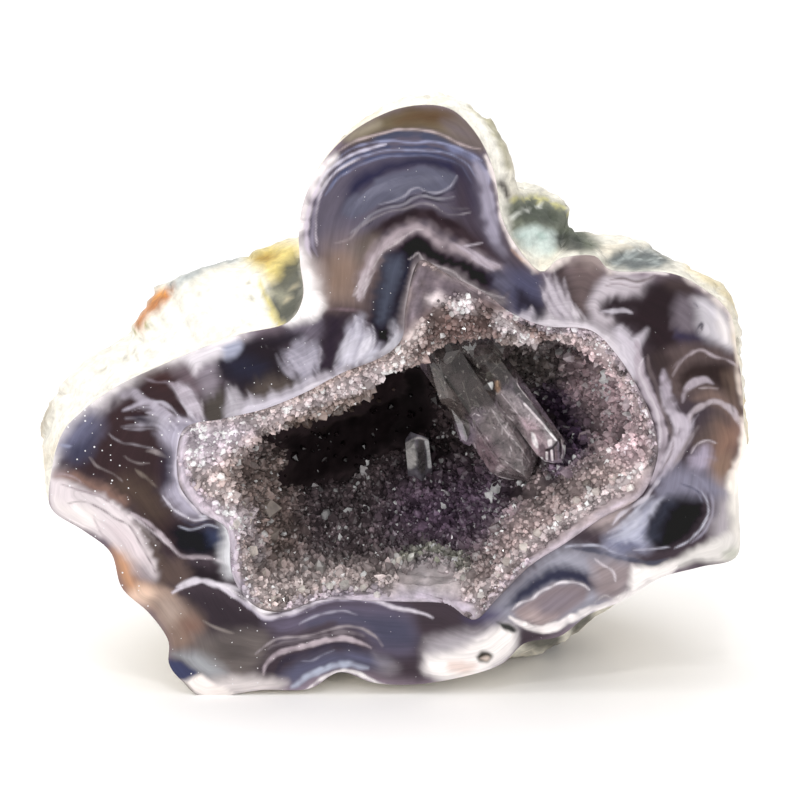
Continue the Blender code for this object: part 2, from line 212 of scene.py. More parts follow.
def rind_relief(angle, radius, depth):
    """Height of the rind's lumps and pits, 0 on the cut."""
    height = np.zeros_like(radius)
    for lump_angle, lump_depth, width, rise in RIND_LUMPS:
        turn = np.radians((angle - lump_angle + 180) % 360 - 180) * radius
        away = np.hypot(turn, depth - lump_depth / 1000) / (width / 1000)
        height += rise / 1000 * np.exp(-1.4 * away**2)
    return height * ease(depth / 0.007)


def body_section(loop, middle, depth):
    """The stone's outline at a depth behind the cut, as points (x, y, z)."""
    arm = loop - middle
    angle = np.degrees(np.arctan2(arm[:, 1], arm[:, 0])) % 360
    front = np.linalg.norm(arm, axis=1)
    settled = ease(depth / REAR_SETTLES)
    knob = between_angles(angle, *KNOB_ANGLES)
    rounded = (0.5 - 0.5 * math.cos(math.pi * min(1, depth / KNOB_DEPTH))) ** 1.6
    share = knob * rounded + (1 - knob) * settled
    rear = rear_reach(angle)
    rear += (REAR_ROUND - rear) * 0.7 * ease((depth / BODY_DEPTH - 0.7) / 0.3)
    reach = front * (1 - share) + rear * share
    below = ease(-np.sin(np.radians(angle)) * 1.6)
    power = np.interp(below, (0, 1), CLOSING_POWER)
    root = np.interp(below, (0, 1), CLOSING_ROOT)
    closing = (1 - min(1, depth / BODY_DEPTH) ** power) ** (1 / root)
    radius = reach * closing + KNOB_SWELL * knob * ease(depth / 0.004)
    radius += rind_relief(angle, radius, depth)
    turned = np.radians(angle)
    level = np.full(len(loop), depth)
    rough = waves(np.stack([np.cos(turned) * radius, level, np.sin(turned) * radius], 1), UNEVEN_WAVES)
    radius += UNEVENNESS * rough * ease(depth / 0.006) * closing
    lean = KNOB_LEAN * knob * ease(depth / 0.006)
    return np.stack(
        [middle[0] + np.cos(turned) * radius + lean, level, middle[1] + np.sin(turned) * radius], 1
    )


def hollow_section(loop, middle, depth, deepest, wall):
    """A section of the hollow: wall is 0 for the crystals' side and 1 for the agate's."""
    arm = loop - middle
    angle = np.arctan2(arm[:, 1], arm[:, 0])
    top = ease(np.sin(angle) * 1.3)
    bottom = ease(-np.sin(angle) * 1.3)
    power = 1.6 + 1.6 * top + 0.6 * bottom + 1.2 * wall
    root = 1.3 + 0.9 * top + 0.3 * bottom + 0.6 * wall
    scale = (1 - min(1, depth / deepest) ** power) ** (1 / root)
    points = middle + arm * scale[:, None]
    return np.stack([points[:, 0], np.full(len(loop), depth), points[:, 1]], axis=1)


def inset(loop, distance):
    """A closed outline moved inwards along its normals."""
    along = np.roll(loop, -1, axis=0) - np.roll(loop, 1, axis=0)
    along /= np.linalg.norm(along, axis=1)[:, None]
    inwards = np.stack([along[:, 1], -along[:, 0]], axis=1)
    area = np.sum(loop[:, 0] * np.roll(loop[:, 1], -1) - loop[:, 1] * np.roll(loop[:, 0], -1))
    return loop + inwards * (distance if area < 0 else -distance)


def inside(points, loop):
    """Which points (x, z) are inside a closed outline."""
    within = np.zeros(len(points), bool)
    for (x1, z1), (x2, z2) in zip(loop, np.roll(loop, -1, axis=0)):
        crosses = (z1 > points[:, 1]) != (z2 > points[:, 1])
        if z1 != z2:
            within ^= crosses & (points[:, 0] < (x2 - x1) * (points[:, 1] - z1) / (z2 - z1) + x1)
    return within


def waves(points, frequency, octaves=1, seed=0.0):
    """Smooth noise at points, in -1 to 1."""
    total = np.zeros(len(points))
    for octave in range(octaves):
        step = frequency * 2**octave
        shift = seed + 17.3 * octave
        total += [
            noise.noise(Vector((p[0] * step + shift, p[1] * step + shift, p[2] * step - shift)))
            / 2**octave
            for p in points.tolist()
        ]
    return total


# Colours and painting


def linear(colour):
    """A colour (red, green, blue) of the screen, as light."""
    colour = np.asarray(colour, float)
    return np.where(colour <= 0.04045, colour / 12.92, ((colour + 0.055) / 1.055) ** 2.4)


def shade(digits):
    """A colour of the screen, written as six hexadecimal digits, as light."""
    return linear([int(digits[i : i + 2], 16) / 255 for i in (0, 2, 4)])


# Colours of the screen that the paintings start from
GROUNDS = {
    "cut": (0.58, 0.52, 0.58),
    "druse": (0.70, 0.65, 0.62),
    "rind": (0.91, 0.89, 0.83),
    "clear": (0.58, 0.52, 0.58),
    "small_clear": (0.55, 0.53, 0.57),
}


def to_line(points, line):
    """For each point, its signed distance from a polyline and how far along it lies (0 to 1)."""
    best = np.full(len(points), 1e9)
    signed, along = np.zeros(len(points)), np.zeros(len(points))
    spans = np.linalg.norm(np.diff(line, axis=0), axis=1)
    total, done = spans.sum(), 0.0
    for start, end, span in zip(line, line[1:], spans):
        way = (end - start) / max(span, 1e-9)
        arm = points - start
        at = np.clip(arm @ way, 0, span)
        off = arm - at[:, None] * way
        distance = np.hypot(off[:, 0], off[:, 1])
        closer = distance < best
        side = np.sign(way[0] * arm[:, 1] - way[1] * arm[:, 0])
        best = np.where(closer, distance, best)
        signed = np.where(closer, distance * side, signed)
        along = np.where(closer, (done + at) / total, along)
        done += span
    return signed, along


def curve(points, smooth=6):
    """An open smooth curve through points."""
    points = np.array(points, float)
    if len(points) < 3:
        return points
    ends = np.vstack([2 * points[0] - points[1], points, 2 * points[-1] - points[-2]])
    line = [
        between(*four, t)
        for four in zip(ends, ends[1:], ends[2:], ends[3:])
        for t in np.linspace(0, 1, smooth, endpoint=False)
    ]
    return np.array([*line, points[-1]])


def read_points(text):
    """Points from text such as "10 20, 30 40"."""
    return np.array([[float(value) for value in pair.split()] for pair in text.split(",")])


def closed_curve(text):
    points = read_points(text)
    return curve([*points, points[0]])


class Painting:
    """Colours of points, built up from strokes whose lines are in the photograph's pixels."""

    def __init__(self, pixels, ground, line_pixels=None, finest=0.0):
        self.pixels = pixels
        self.line_pixels = pixels if line_pixels is None else line_pixels
        self.tint = np.tile(linear(GROUNDS[ground]), (len(pixels), 1))
        self.finest = finest
        cells = np.concatenate([pixels / SWELL_PX, np.zeros((len(pixels), 1))], axis=1)
        self.swell = waves(cells, 1.0, 2, 71.0) if finest else np.zeros(len(pixels))

    def lay(self, colour, cover, here=slice(None)):
        """Lays a colour over the points that here picks, all of them unless it is given."""
        self.tint[here] += (shade(colour) - self.tint[here]) * np.clip(cover, 0, 1)[:, None]

    def near(self, pixels, line, reach):
        low, high = line.min(axis=0) - reach, line.max(axis=0) + reach
        return np.nonzero(np.all((pixels > low) & (pixels < high), axis=1))[0]

    def stroke(self, colour, width, points, soft=3, cover=1.0, taper=0.0):
        """A stroke along a curve, no thinner than the painting's finest line."""
        line = curve(points)
        width, soft = max(width, 0.75 * self.finest), max(soft, 1.15 * self.finest)
        here = self.near(self.line_pixels, line, width + soft + 4)
        if not len(here):
            return
        away, along = to_line(self.line_pixels[here], line)
        swell = self.swell[here]
        half = width / 2 * (1 + 0.6 * swell)
        if taper:
            half = half * (1 - taper * np.abs(2 * along - 1) ** 2)
        elif self.finest:
            half = half * (1 - 0.7 * np.abs(2 * along - 1) ** 6)
        amount = cover * ease((half - np.abs(away)) / soft + 0.5) * np.clip(0.88 + 0.5 * swell, 0.3, 1)
        self.lay(colour, amount, here)

    def field(self, colour, points, soft=10, cover=1.0):
        """A filled outline with soft edges."""
        loop = curve([*points, points[0]])
        here = self.near(self.pixels, loop, soft * FIELD_SOFTNESS)
        if not len(here):
            return
        away, _ = to_line(self.pixels[here], loop)
        depth = np.where(inside(self.pixels[here], loop), np.abs(away), -np.abs(away))
        self.lay(colour, cover * ease(depth / (soft * FIELD_SOFTNESS) + 0.5), here)

    def plume(self, colour, width, points, count, cover):
        """Thin fibres that leave the first point side by side and end at different lengths."""
        line = curve(points)
        way = np.gradient(line, axis=0)
        across = np.stack([-way[:, 1], way[:, 0]], 1)
        across /= np.linalg.norm(across, axis=1)[:, None]
        steps = np.linspace(0, 1, len(line))
        for fibre in range(count):
            place = (fibre + 0.5 + rng.uniform(-0.4, 0.4)) / count - 0.5
            last = max(4, int(len(line) * rng.uniform(0.55, 1.0)))
            first = int(len(line) * rng.uniform(0, 0.2))
            bend = place * width * (1 - 0.45 * steps) + width * 0.06 * np.sin(steps * 5 + rng.uniform(0, 6))
            fibre_line = (line + across * bend[:, None])[first:last]
            if len(fibre_line) > 3:
                thick = width / count * rng.uniform(0.9, 2.0)
                self.stroke(colour, thick, fibre_line[::2], thick * 1.6, cover * rng.uniform(0.3, 0.8), 0.9)

    def paint(self, table):
        """Lays a table's rows. A row of three numbers is the view that the rows after it are in: its
        corner in the photograph's pixels and its enlargement."""
        for row in table:
            if len(row) == 3:
                left, top, enlarged = row
                continue
            kind, colour, width, soft, cover, text = row
            points = read_points(text) / enlarged + (left, top)
            wide, soft_px = width / enlarged, soft / enlarged
            if kind == "f":
                self.field(colour, points, soft_px, cover)
            elif kind == "p":
                self.plume(colour, wide, points, int(soft), cover)
            else:
                self.stroke(colour, wide, points, soft_px, cover, 0.85 if kind == "t" else 0.0)


# Meshes and nodes


def add_object(name, data):
    made = bpy.data.objects.new(name, data)
    bpy.context.scene.collection.objects.link(made)
    return made


def set_tint(data, tint):
    """Gives each point of a mesh its painted colour."""
    colours = np.concatenate([tint, np.ones((len(tint), 1))], 1).astype(np.float32)
    data.attributes.new("tint", "FLOAT_COLOR", "POINT").data.foreach_set("color", colours.ravel())


def add_mesh(name, points, faces, materials, tint, slots=None, flow=None):
    """A piece from points (x, y, z) with the cut at y = 0, moved to its place in the frame."""
    data = bpy.data.meshes.new(name)
    data.from_pydata((np.asarray(points) + TO_FRAME).tolist(), [], faces)
    for made in materials:
        data.materials.append(made)
    set_tint(data, tint)
    if slots is not None:
        data.polygons.foreach_set("material_index", slots)
        layer = data.attributes.new("flow", "FLOAT_VECTOR", "POINT")
        layer.data.foreach_set("vector", flow.astype(np.float32).ravel())
    data.update()
    return add_object(name, data)


def node_material(name, sockets):
    """A material with plain values in some of its shader's sockets."""
    made = bpy.data.materials.new(name)
    made.use_nodes = True
    shader = made.node_tree.nodes["Principled BSDF"]
    for socket, value in sockets.items():
        shader.inputs[socket].default_value = value
    return made, made.node_tree, shader


def link(tree, source, target):
    tree.links.new(source, target)


def add_node(tree, kind, **values):
    """A node with values for its sockets or, where it has no such socket, for its settings."""
    node = tree.nodes.new(kind)
    for key, value in values.items():
        if key in node.inputs:
            node.inputs[key].default_value = value
        else:
            setattr(node, key, value)
    return node


def maths(tree, kind, operation, *values):
    """The result of a maths node; each of its values is a socket to link or a number."""
    node = add_node(tree, kind, operation=operation)
    for socket, value in zip(node.inputs, values):
        if isinstance(value, float):
            socket.default_value = value
        else:
            link(tree, value, socket)
    return node.outputs[0]


def mapped(tree, value, *limits):
    """A value moved from one range to another: limits are the low and high ends of both."""
    node = add_node(tree, "ShaderNodeMapRange")
    link(tree, value, node.inputs[0])
    for number, limit in enumerate(limits, 1):
        node.inputs[number].default_value = limit
    return node.outputs[0]


def brightness(tree, colour):
    node = add_node(tree, "ShaderNodeRGBToBW")
    link(tree, colour, node.inputs[0])
    return node.outputs[0]


# Painted rows: kind, colour, width, softness, cover and points. Kinds: f a filled field, s a
# stroke, t a stroke with thin ends, p a plume of fibres that starts wide at its first point and has
# its count in place of a softness. A row of three numbers is a view, as Painting.paint says.

# The cut face. The pale and warm tan marks along its outer edge are partly the agate's own outer band
# and partly painted light shining through the thin edge.
FACE_PAINT = (
    (0, 0, 1),
    ("f", "453c44", 0, 12, 1, "286 325, 240 336, 170 364, 110 392, 58 440, 50 490, 84 531, 111 553, "
        "122 588, 150 613, 168 640, 170 664, 205 697, 262 690, 340 672, 420 684, 503 663, 560 636, "
        "588 615, 660 578, 737 556, 744 425, 730 314, 702 288, 613 271, 541 272, 501 215, 476 134, "
        "402 108, 326 158, 299 228, 303 297"),
    # Pale strokes along the left outer edge: partly the outer band, partly painted light through the thin
    # edge
    ("s", "8f8a9a", 44, 30, 0.7, "50 480, 60 440, 84 410, 118 386, 158 367, 200 349, 243 334"),
    ("s", "d9d4dc", 26, 22, 0.85, "50 480, 60 440, 84 410, 118 386, 158 367, 200 349, 243 334"),
    ("s", "f1eef0", 13, 12, 0.95, "48 484, 59 440, 83 409, 117 385, 157 366, 199 348, 243 333"),
    (280, 90, 6.03),
    ("f", "5a5566", 0, 60, 1, "130 1000, 200 620, 300 480, 460 360, 760 240, 1000 240, 1230 380, "
        "1290 640, 1330 900, 1400 1100, 1200 1060, 900 850, 700 900, 500 1000, 300 1000"),
    ("f", "6b604a", 0, 40, 1, "390 300, 480 230, 600 165, 760 112, 900 108, 1000 125, 1100 170, "
        "1160 225, 1230 300, 1210 350, 1060 310, 880 240, 650 250, 480 300"),
    ("f", "5e452f", 0, 60, 0.9, "760 140, 860 118, 960 120, 1040 160, 980 200, 820 190, 700 190"),
    ("f", "9a927f", 0, 40, 0.9, "400 290, 480 235, 560 195, 600 215, 520 255, 440 300"),
    ("f", "756a70", 0, 60, 0.9, "980 190, 1080 190, 1170 250, 1230 330, 1160 330, 1040 270"),
    ("s", "454b62", 46, 30, 1, "560 300, 700 272, 820 268, 940 290, 1050 345"),
    ("s", "6e769c", 36, 40, 0.9, "1010 340, 1100 380, 1200 440, 1260 560"),
    ("s", "b9a9aa", 12, 8, 0.95, "350 370, 420 325, 500 292, 600 262, 700 243, 800 237, 900 247, "
        "980 272, 1060 310, 1150 345, 1210 357"),
    ("s", "8c93b8", 12, 8, 0.9, "330 420, 420 360, 540 318, 680 308, 800 318, 920 312, 1040 335, "
        "1140 380, 1220 430"),
    ("s", "c5c4dc", 20, 16, 0.95, "210 610, 250 540, 310 470, 390 410, 470 375, 560 345, 640 330"),
    ("s", "3c4666", 16, 10, 0.9, "350 470, 430 415, 530 375, 660 345, 800 345, 900 345, 1000 370, "
        "1100 430"),
    ("s", "8d94b6", 9, 7, 0.9, "300 530, 380 450, 470 410, 580 378, 700 362, 800 362, 900 370, 980 372, "
        "1060 400, 1130 450, 1180 520"),
    ("s", "3f496b", 18, 12, 0.9, "300 590, 360 510, 450 450, 560 410, 700 385, 840 385, 960 395, "
        "1060 430"),
    ("s", "7a82a6", 7, 6, 0.85, "270 640, 340 545, 430 480, 540 430, 660 402, 800 395, 920 400, "
        "1020 420, 1100 470, 1150 560"),
    ("s", "d6d3e2", 9, 8, 0.8, "226 680, 262 590, 330 500, 400 450, 480 415"),
    ("f", "1f2140", 0, 60, 1, "330 760, 370 640, 450 540, 560 470, 700 425, 850 405, 1000 415, 1100 470, "
        "1150 580, 1170 720, 1110 740, 1060 600, 960 470, 700 480, 520 580, 400 700"),
    ("f", "5f5a6a", 0, 70, 0.9, "250 720, 330 620, 400 640, 380 760, 420 860, 330 940, 260 920, 230 820"),
    ("f", "423a46", 0, 60, 1, "1060 480, 1130 560, 1180 720, 1240 860, 1300 980, 1200 960, 1100 800, "
        "1040 700, 1050 600"),
    ("f", "585a6e", 0, 20, 1, "378 735, 395 670, 450 628, 500 622, 556 580, 570 530, 640 518, 700 492, "
        "780 490, 830 466, 900 466, 960 472, 1010 492, 1056 520, 1050 560, 1020 596, 960 622, 910 634, "
        "860 618, 790 632, 740 668, 670 684, 600 690, 540 724, 470 764, 410 768"),
    ("p", "7b7d93", 60, 10, 0.5, "420 740, 560 620, 760 540, 980 500"),
    ("f", "66687c", 0, 24, 0.7, "640 600, 760 550, 880 520, 980 530, 900 560, 780 590, 700 630"),
    ("s", "a3a3b4", 7, 6, 0.8, "600 690, 690 668, 750 640, 790 600, 840 590, 880 610, 950 618, 1030 580, "
        "1070 520"),
    ("s", "2c2a38", 12, 8, 0.9, "580 722, 660 690, 740 680, 790 642, 850 640, 880 618, 930 640, "
        "1050 600"),
    ("s", "83838f", 13, 8, 0.9, "420 870, 500 800, 560 745, 650 712, 740 690, 800 655, 870 640, 940 655, "
        "1050 640"),
    ("s", "34303c", 9, 7, 0.85, "520 820, 600 752, 700 722, 780 690, 860 660, 960 672, 1050 668"),
    ("s", "8b8690", 12, 8, 0.9, "330 925, 420 900, 480 830, 570 770, 660 735, 760 712, 850 690, 930 702, "
        "1000 745, 1060 752, 1150 738"),
    ("s", "57525c", 14, 10, 0.7, "960 680, 1040 712, 1140 715"),
    ("f", "3a2f35", 0, 40, 1, "470 920, 540 850, 620 790, 720 745, 850 706, 930 716, 1000 760, 1080 780, "
        "1180 870, 1270 960, 1350 1040, 1250 1010, 1100 930, 960 860, 880 806, 780 820, 640 880, "
        "540 980"),
    ("s", "2d2429", 40, 30, 0.9, "560 860, 680 790, 850 730, 960 770, 1080 830"),
    ("f", "8f7a6e", 0, 150, 0.9, "300 960, 420 940, 520 960, 520 1060, 470 1180, 440 1290, 300 1310, "
        "230 1200, 250 1050"),
    ("f", "80695a", 0, 80, 0.7, "290 1060, 400 1020, 440 1120, 380 1220, 290 1180"),
    ("f", "69605a", 0, 60, 0.8, "420 940, 520 880, 600 880, 560 980, 480 1030"),
    ("s", "8d8087", 84, 70, 0.8, "480 1260, 500 1130, 540 1050, 610 960, 680 900, 760 850, 830 828, "
        "890 850, 940 900, 1020 930, 1120 980, 1220 1030, 1330 1080"),
    ("s", "a0949c", 42, 44, 0.9, "480 1260, 500 1130, 540 1050, 610 960, 680 900, 760 850, 830 828, "
        "890 850, 940 900, 1020 930, 1120 980, 1220 1030, 1330 1080"),
    ("p", "b9adb5", 40, 9, 0.5, "480 1250, 500 1140, 560 1020, 650 930, 780 850"),
    ("p", "b9b1c2", 60, 8, 0.75, "1340 1090, 1220 1030, 1100 960, 980 890"),
    ("s", "cfc8d6", 12, 10, 0.7, "1110 940, 1180 930, 1220 922"),
    ("s", "c4bcc0", 10, 10, 0.7, "560 1080, 610 990, 690 930, 800 850, 860 838"),
    ("p", "c8c0c8", 80, 12, 0.75, "470 1270, 500 1180, 560 1050"),
    ("f", "1f1720", 0, 26, 1, "830 866, 760 905, 720 940, 660 990, 630 1060, 600 1180, 570 1300, "
        "540 1440, 600 1540, 690 1500, 700 1380, 740 1280, 770 1130, 800 1030, 870 1010, 960 1050, "
        "1080 1090, 1180 1160, 1330 1220, 1430 1250, 1500 1260, 1540 1180, 1400 1130, 1250 1090, "
        "1130 1040, 960 975, 880 900"),
    ("f", "444a5b", 0, 50, 1, "640 1010, 730 1000, 740 1100, 690 1230, 650 1380, 590 1400, 590 1250, "
        "620 1120"),
    ("s", "1f2130", 30, 20, 0.9, "800 1000, 762 1100, 735 1230, 700 1370, 680 1440"),
    ("f", "63637a", 0, 60, 0.9, "1290 1120, 1400 1120, 1520 1160, 1560 1230, 1440 1240, 1320 1200"),
    ("f", "777074", 0, 40, 1, "840 1010, 960 1070, 1080 1100, 1200 1200, 1340 1250, 1400 1290, "
        "1280 1300, 1130 1240, 960 1200, 840 1280, 770 1400, 750 1560, 720 1400, 790 1130"),
    ("s", "a39da1", 10, 7, 0.95, "776 1022, 806 1006, 835 986, 862 1020, 900 1048, 960 1062, 1040 1092, "
        "1100 1140, 1180 1192, 1260 1228, 1350 1252"),
    ("s", "9b9498", 26, 20, 0.85, "815 1060, 795 1150, 775 1260, 762 1380, 745 1500"),
    ("p", "928b8e", 120, 10, 0.5, "900 1290, 880 1200, 870 1080"),
    ("s", "a9a6bd", 60, 60, 0.8, "1180 430, 1225 520, 1250 640, 1270 780, 1305 920"),
    # Pale strokes and fields along the knob's edges: partly the outer band, partly painted light through
    # the thin edge
    ("s", "f3eef0", 84, 70, 1, "330 400, 240 500, 160 640, 110 800, 90 950, 130 1060, 150 1150, "
        "120 1260, 60 1350"),
    ("s", "c9bfd2", 22, 22, 0.9, "240 560, 190 680, 160 800, 165 930, 185 1010"),
    ("s", "908aa0", 18, 16, 0.8, "262 590, 222 690, 200 800, 196 920, 225 1000"),
    ("s", "d2cad9", 9, 9, 0.75, "250 620, 222 740, 214 850, 222 940"),
    ("f", "f4f0f0", 0, 60, 1, "60 950, 150 1000, 200 1100, 230 1200, 240 1330, 120 1370, 30 1380, "
        "100 1200"),
    ("f", "b9adac", 0, 60, 0.7, "170 1020, 240 1060, 270 1200, 260 1300, 200 1240"),
    ("s", "e9e1df", 36, 30, 1, "1240 400, 1290 520, 1330 640, 1340 760, 1380 880, 1440 970, 1520 1060"),
    ("s", "8f8b9f", 60, 70, 0.8, "1190 460, 1240 600, 1260 740, 1290 880, 1350 990"),
    ("s", "d8b196", 16, 26, 0.8, "1400 960, 1450 1010, 1510 1060, 1560 1110"),
    ("s", "f2ece2", 30, 20, 1, "1230 300, 1270 380, 1300 470, 1330 560"),
    (240, 240, 8.71),
    ("f", "6c6575", 0, 60, 1, "440 740, 560 690, 700 660, 740 740, 700 860, 640 880, 520 850, 420 820"),
    ("f", "2e2733", 0, 130, 1, "730 640, 850 610, 980 630, 960 720, 905 850, 880 1000, 800 1150, "
        "680 1180, 630 1110, 690 1000, 700 860, 710 740"),
    ("s", "76626c", 26, 30, 0.8, "760 605, 880 598, 1030 610"),
    ("f", "2c2831", 0, 60, 1, "0 900, 180 860, 330 830, 460 800, 560 830, 480 880, 330 960, 400 1100, "
        "520 1240, 300 1290, 60 1290, 0 1320"),
    ("f", "2b2e40", 0, 90, 0.7, "0 960, 120 960, 160 1060, 60 1140, 0 1150"),
    ("f", "5d5450", 0, 80, 0.8, "100 1280, 260 1230, 440 1250, 400 1320, 200 1360"),
    ("f", "9391a2", 0, 50, 0.9, "340 965, 440 955, 470 900, 560 850, 600 900, 680 900, 690 1050, "
        "640 1110, 600 1220, 540 1250, 480 1170, 420 1110, 375 1085, 400 1040"),
    ("p", "b4b2c4", 150, 12, 0.8, "640 1260, 570 1130, 470 1010, 350 960"),
    ("p", "a5a3b4", 120, 10, 0.8, "640 1180, 620 1040, 590 920, 560 820"),
    ("s", "8f8b98", 12, 8, 0.9, "690 920, 705 960, 690 1010, 690 1055, 660 1075"),
    ("s", "9b96a0", 12, 9, 0.85, "228 925, 262 968, 312 962"),
    ("f", "a3a2b4", 0, 54, 0.9, "930 760, 980 700, 1060 660, 1090 790, 1120 760, 1160 860, 1180 930, "
        "1220 890, 1200 980, 1150 1040, 1050 1090, 960 1120, 900 1170, 850 1180, 880 1010, 920 850"),
    ("p", "cfcfde", 200, 12, 0.8, "900 1160, 960 980, 1010 800, 1010 640"),
    ("p", "dcdce8", 120, 10, 0.7, "1020 1090, 1090 960, 1130 830, 1120 720"),
    ("p", "c2c4d4", 90, 9, 0.8, "1080 1080, 1180 990, 1240 880"),
    ("f", "9c9ca9", 0, 44, 0.9, "1180 1010, 1290 900, 1320 800, 1330 710, 1370 790, 1440 830, 1430 910, "
        "1340 970, 1240 1030"),
    ("p", "c3c4d0", 110, 10, 0.7, "1230 1020, 1320 930, 1350 820, 1335 700"),
    ("f", "bebac8", 0, 60, 1, "0 1440, 100 1390, 300 1340, 480 1290, 600 1210, 800 1160, 900 1130, "
        "940 1140, 840 1240, 700 1300, 560 1400, 400 1450, 200 1520, 0 1600"),
    ("s", "dad6e0", 40, 40, 0.8, "40 1500, 240 1440, 420 1390, 560 1320, 680 1240"),
    ("f", "8c8484", 0, 50, 0.8, "930 1120, 1100 1080, 1280 990, 1430 920, 1450 960, 1300 1050, "
        "1120 1120, 980 1160"),
    # White field at the knob's left edge: partly the outer band, partly painted light through the thin edge
    ("f", "faf9fa", 0, 60, 1, "405 720, 420 620, 540 500, 560 380, 540 280, 620 300, 680 480, 720 580, "
        "640 680, 520 710, 440 740"),
    (40, 340, 6.03),
    ("f", "3b2e31", 0, 70, 1, "130 690, 220 520, 340 450, 460 360, 560 250, 640 190, 790 165, 900 130, "
        "960 220, 980 330, 990 470, 930 490, 800 470, 720 560, 790 650, 780 820, 720 920, 760 1010, "
        "840 1090, 880 1180, 880 1290, 780 1290, 660 1130, 560 1010, 480 940, 380 870, 220 800, 110 770"),
    ("f", "6b6e8c", 0, 90, 1, "110 640, 150 560, 230 480, 320 450, 350 520, 310 600, 250 680, 150 680"),
    ("f", "34364c", 0, 60, 0.8, "170 640, 250 600, 330 560, 310 680, 240 740, 170 710"),
    ("s", "8f96b4", 14, 14, 0.8, "110 625, 150 635, 190 640"),
    ("f", "56483f", 0, 90, 0.8, "420 880, 520 820, 660 860, 720 960, 760 1040, 700 1090, 600 1030, "
        "500 950"),
    ("f", "47302f", 0, 60, 0.8, "610 190, 740 170, 800 200, 760 260, 660 250"),
    ("f", "70626c", 0, 60, 0.8, "820 190, 900 150, 960 240, 960 330, 900 300, 850 250"),
    ("s", "8a7f8c", 14, 12, 0.6, "620 230, 700 250, 800 260, 860 290"),
    ("s", "a29dac", 50, 40, 0.8, "470 330, 560 320, 620 360, 700 400, 760 450"),
    ("t", "aaa5b6", 44, 26, 0.95, "500 425, 580 390, 650 372, 720 420, 800 468, 900 500, 960 540"),
    ("p", "b0aebf", 110, 12, 0.8, "830 640, 780 560, 700 500, 560 500, 480 500"),
    ("t", "b7b4c5", 30, 20, 0.9, "840 560, 790 500, 720 460, 640 440"),
    ("t", "b7b4c5", 24, 16, 0.85, "850 480, 800 420, 740 380, 660 370"),
    ("t", "c3c1cf", 26, 16, 0.9, "960 500, 900 430, 850 350, 800 280"),
    ("t", "c3c1cf", 20, 14, 0.85, "990 480, 950 400, 920 330, 880 270"),
    ("t", "c3c1cf", 22, 14, 0.9, "1180 480, 1180 420, 1160 350, 1130 290"),
    ("t", "cfccda", 26, 16, 0.9, "1290 460, 1290 400, 1270 350, 1240 300"),
    ("t", "cfccda", 22, 14, 0.85, "1420 420, 1420 360, 1400 310, 1370 260"),
    ("p", "a39fb0", 60, 10, 0.8, "800 540, 720 440, 620 410, 520 440"),
    ("f", "2a2530", 0, 30, 0.9, "560 455, 620 450, 680 480, 660 510, 580 490"),
    ("s", "8b868f", 7, 7, 0.8, "410 565, 450 600, 500 622, 560 628, 650 652, 700 672"),
    ("t", "8f8688", 24, 14, 0.85, "640 672, 700 682, 775 712"),
    ("s", "8b8284", 6, 7, 0.8, "508 702, 540 725, 600 742, 660 742"),
    ("s", "8b8284", 6, 7, 0.8, "296 706, 340 760, 400 790, 450 812, 495 850"),
    ("t", "7b7068", 26, 14, 0.85, "580 780, 640 830, 705 888"),
    ("f", "2f2d3e", 0, 60, 0.9, "740 660, 800 680, 810 800, 780 900, 730 900, 740 780"),
    ("f", "a9a6bb", 0, 60, 1, "720 560, 800 520, 980 500, 900 640, 850 760, 850 860, 900 940, 960 1040, "
        "900 1060, 820 1000, 760 920, 800 860, 810 700, 780 640"),
    ("s", "c8c4d6", 30, 30, 0.9, "840 560, 830 680, 830 800, 850 890, 900 960, 950 1030"),
    ("s", "d5cfdc", 16, 14, 0.8, "830 880, 870 940, 930 1010, 980 1060"),
    ("f", "a49ca9", 0, 24, 0.95, "786 268, 850 255, 925 305, 962 400, 958 492, 900 420, 836 350"),
    ("p", "bdb7c6", 90, 10, 0.8, "945 500, 920 400, 870 320, 800 260"),
    ("f", "4a4641", 0, 26, 0.9, "1000 290, 1060 280, 1110 320, 1110 480, 1000 480, 990 380"),
    ("s", "a19da3", 12, 22, 0.6, "976 350, 980 420, 984 500"),
    ("f", "9d9aa4", 0, 24, 0.95, "1130 262, 1180 282, 1235 370, 1210 445, 1160 490, 1108 472, 1120 350"),
    ("p", "b5b2be", 80, 9, 0.7, "1160 490, 1175 400, 1140 280"),
    ("f", "b8b5c4", 0, 40, 1, "1190 500, 1260 370, 1340 345, 1450 305, 1568 245, 1568 390, 1400 430, "
        "1250 480"),
    ("p", "cbc8d6", 110, 10, 0.7, "1260 470, 1290 400, 1270 340"),
    ("p", "c6c3d2", 110, 10, 0.7, "1400 420, 1410 360, 1400 290"),
    ("f", "2b262c", 0, 50, 1, "1060 130, 1180 60, 1300 10, 1450 30, 1465 140, 1568 250, 1420 300, "
        "1260 345, 1200 285, 1120 250, 1060 210"),
    ("f", "2c2f42", 0, 80, 0.8, "1120 130, 1240 110, 1360 160, 1300 220, 1160 210"),
    ("f", "5f564f", 0, 70, 0.8, "1330 250, 1450 230, 1520 270, 1400 310, 1280 330"),
    ("f", "9ba2bb", 0, 26, 0.95, "1080 40, 1200 10, 1215 60, 1160 110, 1100 110"),
    ("f", "d9d6df", 0, 40, 0.95, "860 110, 960 60, 1080 20, 1090 90, 1040 120, 960 170, 930 200, "
        "900 140"),
    ("f", "8a828f", 0, 40, 0.8, "940 200, 1040 150, 1080 240, 1040 330, 980 330"),
    ("p", "a8a5b6", 100, 9, 0.85, "1568 220, 1500 150, 1440 60"),
    ("f", "8f6f62", 0, 40, 0.9, "90 800, 220 810, 360 870, 480 940, 520 990, 420 950, 300 890, 180 850, "
        "90 840"),
    ("f", "d6ced3", 0, 30, 1, "62 850, 130 840, 260 890, 400 950, 520 1030, 620 1130, 700 1260, "
        "720 1400, 690 1450, 560 1400, 440 1240, 340 1170, 200 1110, 90 1040, 55 960"),
